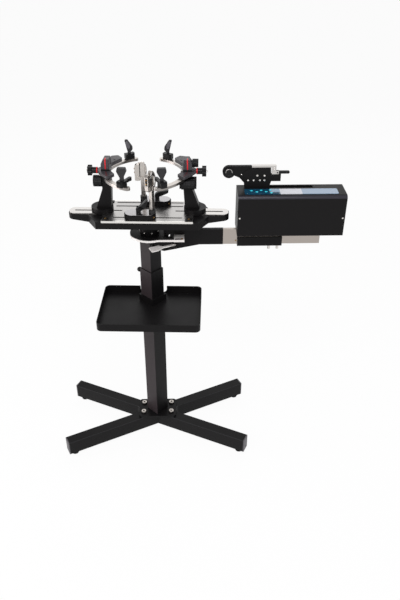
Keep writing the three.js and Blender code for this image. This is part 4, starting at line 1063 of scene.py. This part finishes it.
@dataclass
class TensionHead:
    """Housing with its panel, rail clamp, drive and screws."""

    fold_highlight_heights: Pair = (1084.5, 1094.3)
    fold_highlight_depths: Pair = (-80.5, -70.5)
    clamp_screws: Pair = (860.0, 883.9)
    window: Pair = (444.0, 517.0)
    scale: Pair = (517.0, 640.0)
    fade: Pair = (412.0, 444.0)
    fade_depths: Pair = (-48.0, -20.0)
    screw_sides: tuple[tuple[float, Vector], ...] = ((-80.0, FRONT), (20.0, BACK))
    screw_spots: tuple[Pair, ...] = ((309.0, 1016.0), (657.0, 1014.0))
    screw_size: Pair = (3.0, 1.4)
    button_level: float = 1097.3
    button_size: Pair = (3.4, 1.2)
    button_stretch: float = 1.35
    button_relief: Relief = Relief(((1.2, 0.4),), 0.4)
    buttons: tuple[Pair, ...] = ((349.0, -37.0), (366.0, -47.0), (381.5, -34.5), (397.0, -46.0),
                                 (412.0, -33.5), (414.0, -55.0))
    link_pitch: float = 12.0
    link_plate: Pair = (1.1, 8.6)
    link_kinds: tuple[Pair, ...] = ((1.9, 1.04), (0.7, 1.0))
    link_relief: Relief = Relief(((0.9, 0.15),), 1.6, angle=60.0)
    roller_radius: float = 3.6
    roller_gap: float = 1.0
    roller_sides: int = 12
    roller_relief: Relief = Relief(((1.2, -0.4),), 0.3, 1)
    pin_size: Place = (2.0, 9.0, 5.0)
    pin_sunk: float = 6.5
    pin_relief: Relief = Relief(((0.4, 0.3),), 0.3)
    pin_spots: tuple[Pair, ...] = ((-9.0, -2.0), (0.0, 3.0), (9.0, -2.0))

    def build(self) -> None:
        """Dresses the nodes, with painted highlight on the cover's fold, and adds the screws,
        buttons with painted glow, chain and pins.
        """
        dress(COATING, "housing_base", "drive_track")
        # Painted highlight along the cover's front fold.
        fold_highlight = Both((Slab(Axis.Z, *self.fold_highlight_heights), Slab(Axis.Y, *self.fold_highlight_depths)))
        dress(regional(COATING, "cover_coat_fold_highlight", (fold_highlight, FOLD_PAINTED_HIGHLIGHT)), "housing_cover")
        screws = (Slab(Axis.Z, *self.clamp_screws), BRIGHT)
        dress(regional(COATING, "rail_clamp_paint", screws), "rail_clamp")
        dress(PLAIN_STEEL, "drive_motor")
        dress(PLASTIC, "power_inlet")
        window = (Slab(Axis.X, *self.window), PANEL_WINDOW)
        scale = (Slab(Axis.X, *self.scale), PANEL_SCALE)
        fade = (Both((Slab(Axis.X, *self.fade), Slab(Axis.Y, *self.fade_depths))), PANEL_FADE)
        dress(regional(PANEL, "panel_film", fade, window, scale), "control_panel")
        place_piece(self.housing_screws(), "tension_head", BOLT)
        # The buttons' finish paints a faint glow.
        place_piece(self.button_domes(), "tension_head", BUTTON_GLOW)
        chain = self.chain()
        place_piece(chain, "tension_head", PLAIN_STEEL)
        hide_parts("drive_chain")
        place_piece(self.inlet_pins(), "tension_head", BOLT)

    def housing_screws(self) -> Piece:
        """Screws at the corners of the housing's front, and two more at its back."""
        pairs = [Bench.screws("cover_screws", [MACHINE.point(x, y, z) for x, z in self.screw_spots],
                              way, *self.screw_size) for y, way in self.screw_sides]
        return Bench.together("cover_screws", pairs)

    def button_domes(self) -> Piece:
        """Low oval domes on the panel.

        Returns:
            The domes as one piece.
        """
        spots = [MACHINE.point(x, y, self.button_level) for x, y in self.buttons]
        dome = Bench.rod("panel_buttons", *self.button_size, spots[0], UP)
        dome.scale.x = self.button_stretch
        Bench.faced(dome, UP, self.button_relief)
        return Bench.row(dome, Bench.shifts(spots))

    def chain(self) -> Piece:
        """Roller chain in the track, with an inner and an outer link modelled and copied along it.

        Returns:
            The chain as one piece.
        """
        low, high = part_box("drive_chain")
        count = round((high[0] - low[0]) / MM / self.link_pitch)
        pitch = (high[0] - low[0]) / count
        half = (high[1] - low[1]) / 2
        level = (low[2] + high[2]) / 2
        rows = []
        for number, (inset, stretch) in enumerate(self.link_kinds):
            centre = Vector((low[0] + (number + 0.5) * pitch, low[1] + half, level))
            link = self.link(centre, pitch / MM * stretch, half / MM, inset)
            moves = [Matrix.Translation((pitch * step, 0.0, 0.0))
                     for step in range(2, count - number, 2)]
            rows.append(Bench.row(link, moves))
        return Bench.together("roller_chain", rows)

    def link(self, centre: Vector, length: float, half: float, inset: float) -> Piece:
        """Two side plates of the chain and the roller between them.

        Args:
            centre: The link's centre.
            length: The plates' length.
            half: Half the chain's width.
            inset: How far the plates' middles lie inside the chain's sides.

        Returns:
            The link.
        """
        spots = [centre + BACK * side * (half - inset) * MM for side in (-1, 1)]
        plate = Bench.block("plate", (length, *self.link_plate), spots[0])
        Bench.faced(plate, BACK, self.link_relief, both=True)
        plates = Bench.row(plate, Bench.shifts(spots))
        width = half * 2 - self.roller_gap
        roller = Bench.rod("roller", self.roller_radius, width, centre, BACK, self.roller_sides)
        Bench.faced(roller, BACK, self.roller_relief, both=True)
        return Bench.together("link", [plates, roller])

    def inlet_pins(self) -> Piece:
        """Three flat pins inside the mains inlet.

        Returns:
            The pins as one piece.
        """
        low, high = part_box("power_inlet")
        middle = [(first + last) / 2 for first, last in zip(low, high)]
        centre = Vector((middle[0], high[1] - self.pin_sunk * MM, middle[2]))
        spots = [centre + Vector((shift, 0.0, rise)) * MM for shift, rise in self.pin_spots]
        pin = Bench.block("inlet_pins", self.pin_size, spots[0])
        return Bench.row(Bench.faced(pin, BACK, self.pin_relief), Bench.shifts(spots))


@dataclass
class Gripper:
    """Gripper carriage with its roller, jaw, handle and bolts."""

    face: float = -12.0
    bolts: tuple[Pair, ...] = ((368.5, 1140.7), (392.7, 1140.5), (338.0, 1124.0), (357.0, 1124.0),
                               (378.0, 1124.0), (393.0, 1124.0))
    bolt_size: Pair = (3.4, 1.6)
    small_bolt: Place = (315.5, -10.5, 1144.6)
    small_size: Pair = (2.0, 1.0)
    jaw_screws: tuple[Pair, ...] = ((424.0, 1152.0), (424.0, 1163.0))
    jaw_screw_size: Pair = (2.4, 1.0)
    nose: Pair = (273.5, 1152.3)
    cap_size: Pair = (15.5, 1.6)
    cap_sunk: float = 0.6
    cap_sides: int = 40
    cap_relief: Relief = Relief(((3.2, 0.0), (0.8, -0.8), (6.0, 0.0), (0.6, 0.7)), 0.35)
    # Bright ring kept only over the cap's top, so it is partly a painted glint.
    glint_ring_radii: Pair = (10.6, 10.6)
    glint_ring_section: Pair = (0.8, 0.6)
    glint_ring_proud: float = 1.0
    glint_ring_drop: float = 1.0

    def build(self) -> None:
        """Dresses the nodes and adds the bolts, the nose's cap and a bright ring over the cap's
        top, partly a painted glint.
        """
        dress(COATING, "gripper_frame")
        dress(BOLT, "gripper_roller")
        dress(SATIN, "gripper_jaw")
        dress(PLASTIC, "gripper_lever")
        bolts = Bench.screws("gripper_bolts", self.on_face(self.bolts), FRONT, *self.bolt_size)
        small = Bench.screw("small_bolt", MACHINE.point(*self.small_bolt), FRONT, *self.small_size)
        place_piece(Bench.together("gripper_bolts", [bolts, small]), "gripper", BOLT)
        place_piece(self.nose_cap(), "gripper", PLASTIC)
        place_piece(self.nose_glint_ring(), "gripper", BOLT)
        spots = self.on_face(self.jaw_screws)
        screws = Bench.screws("jaw_screws", spots, FRONT, *self.jaw_screw_size)
        place_piece(screws, "gripper_jaw", BOLT)

    def on_face(self, spots: Sequence[Pair]) -> list[Vector]:
        """Places on the front face of the carriage."""
        return [MACHINE.point(x, self.face, z) for x, z in spots]

    def nose_cap(self) -> Piece:
        """Dished cap over the roller's pin.

        Returns:
            The cap.
        """
        centre = MACHINE.point(self.nose[0], self.face - self.cap_sunk, self.nose[1])
        cap = Bench.rod("nose_cap", *self.cap_size, centre, FRONT, self.cap_sides)
        return Bench.faced(cap, FRONT, self.cap_relief)

    def nose_glint_ring(self) -> Piece:
        """Bright rim over the cap's middle, kept only over the top where it glints: part rim, part
        painted glint.
        """
        centre = MACHINE.point(self.nose[0], self.face - self.glint_ring_proud, self.nose[1])
        return Bench.arc("nose_glint_ring", self.glint_ring_radii, self.glint_ring_section, centre, FRONT,
                         lambda spot: spot.z > centre.z - self.glint_ring_drop * MM)


@dataclass(frozen=True)
class Lamp:
    """A square soft lamp that looks at the machine's middle, in metres and watts."""

    name: str
    place: Place
    size: float
    power: float
    colour: Colour
    aim: Place = (0.0, 0.0, 0.7)

    def build(self) -> None:
        """Adds the lamp."""
        data = bpy.data.lights.new(self.name, "AREA")
        data.size = self.size
        data.energy = self.power
        data.color = self.colour
        lamp = bpy.data.objects.new(self.name, data)
        lamp.location = self.place
        sight = Vector(self.aim) - Vector(self.place)
        lamp.rotation_euler = sight.to_track_quat("-Z", "Y").to_euler()
        bpy.context.collection.objects.link(lamp)


@dataclass
class Studio:
    """Pale floor, soft lamps and the camera at the photograph's place."""

    eye: Place = (128.2, -2021.0, 1975.0)
    view: Place = (0.01594, 0.83173, -0.55496)
    focal_pixels: float = 639.04
    centre_pixels: Pair = (197.0, 302.0)
    image: tuple[int, int] = (400, 600)
    sensor: float = 36.0
    floor_size: float = 60.0
    floor_grey: float = 0.9
    floor_share: float = 0.94
    world_light: float = 0.42
    lamps: tuple[Lamp, ...] = (
        Lamp("key", (-1.7, -2.3, 3.0), 2.0, 54.0, (1.0, 0.985, 0.965)),
        Lamp("ridge", (0.3, -1.75, 3.1), 0.6, 26.0, (0.95, 0.93, 1.0)),
        Lamp("fill", (2.6, -1.6, 2.4), 1.8, 20.0, (0.965, 0.98, 1.0)),
        Lamp("back", (0.1, 3.0, 2.7), 3.2, 30.0, (1.0, 1.0, 1.0)),
        Lamp("side", (-2.6, -0.1, 0.6), 1.3, 20.0, (1.0, 0.93, 0.93)),
    )

    def build(self) -> None:
        """Adds the camera, the floor, the lamps and the world."""
        self.camera()
        self.floor()
        for lamp in self.lamps:
            lamp.build()
        self.world()
        bpy.context.scene.view_settings.view_transform = "Standard"

    def camera(self) -> None:
        """Adds the camera with the photograph's focal length and a small shift."""
        data = bpy.data.cameras.new("photo_camera")
        longest = max(self.image)
        data.sensor_width = self.sensor
        data.lens = self.focal_pixels / longest * self.sensor
        data.shift_x = (self.image[0] / 2 - self.centre_pixels[0]) / longest
        data.shift_y = (self.centre_pixels[1] - self.image[1] / 2) / longest
        camera = bpy.data.objects.new("photo_camera", data)
        camera.location = MACHINE.point(*self.eye)
        camera.rotation_euler = Vector(self.view).to_track_quat("-Z", "Y").to_euler()
        bpy.context.collection.objects.link(camera)
        bpy.context.scene.camera = camera

    def floor(self) -> None:
        """Adds the floor, which the camera and reflections see white under its shadow."""
        Bench.clear()
        bpy.ops.mesh.primitive_plane_add(size=self.floor_size, location=(0.0, 0.0, 0.0))
        floor = bpy.context.object
        floor.name = "studio_floor"
        paint = bpy.data.materials.new("studio_floor")
        graph = Graph(paint)
        seen = graph.rays("Is Camera Ray", "Is Glossy Ray", "Is Transmission Ray")
        lit = graph.wire("ShaderNodeBsdfDiffuse", None, {"Color": (*(self.floor_grey,) * 3, 1.0)})
        white = graph.wire("ShaderNodeEmission", None, {"Color": (1.0,) * 4, "Strength": 1.0})
        graph.end_mixed("ShaderNodeOutputMaterial", seen * self.floor_share, lit, white)
        floor.data.materials.append(paint)

    def world(self) -> None:
        """Lights the scene softly from all round, and looks white to the camera."""
        world = bpy.data.worlds.new("studio_world")
        graph = Graph(world)
        soft, white = (
            graph.wire("ShaderNodeBackground", None, {"Color": (1.0,) * 4, "Strength": light})
            for light in (self.world_light, 1.0))
        graph.end_mixed("ShaderNodeOutputWorld", graph.rays("Is Camera Ray"), soft, white)
        bpy.context.scene.world = world


def main() -> None:
    """Builds the studio and each sub-assembly in order."""
    logging.basicConfig(level=logging.INFO)
    builders = [
        Studio(), Stand(), Brake(), Arm(), Turntable(),
        TowerSide("left", -1, knob_centre=(-8.0, 1122.0), leaf_x=-75.9),
        TowerSide("right", 1, knob_centre=(-36.5, 1124.0), leaf_x=65.9),
        StringClamp("front", post=(17.0, -50.0), base=(-25.0, -50.0), head_turn=60.0,
                    head_low=1110.3, bail_side=-1),
        StringClamp("rear", post=(-22.0, 61.0), base=(20.0, 61.0), head_turn=0.0,
                    head_low=1096.3, bail_side=1),
        TensionHead(), Gripper(),
    ]
    for builder in builders:
        builder.build()
        LOG.info("built %s", type(builder).__name__)


if __name__ == "__main__":
    main()
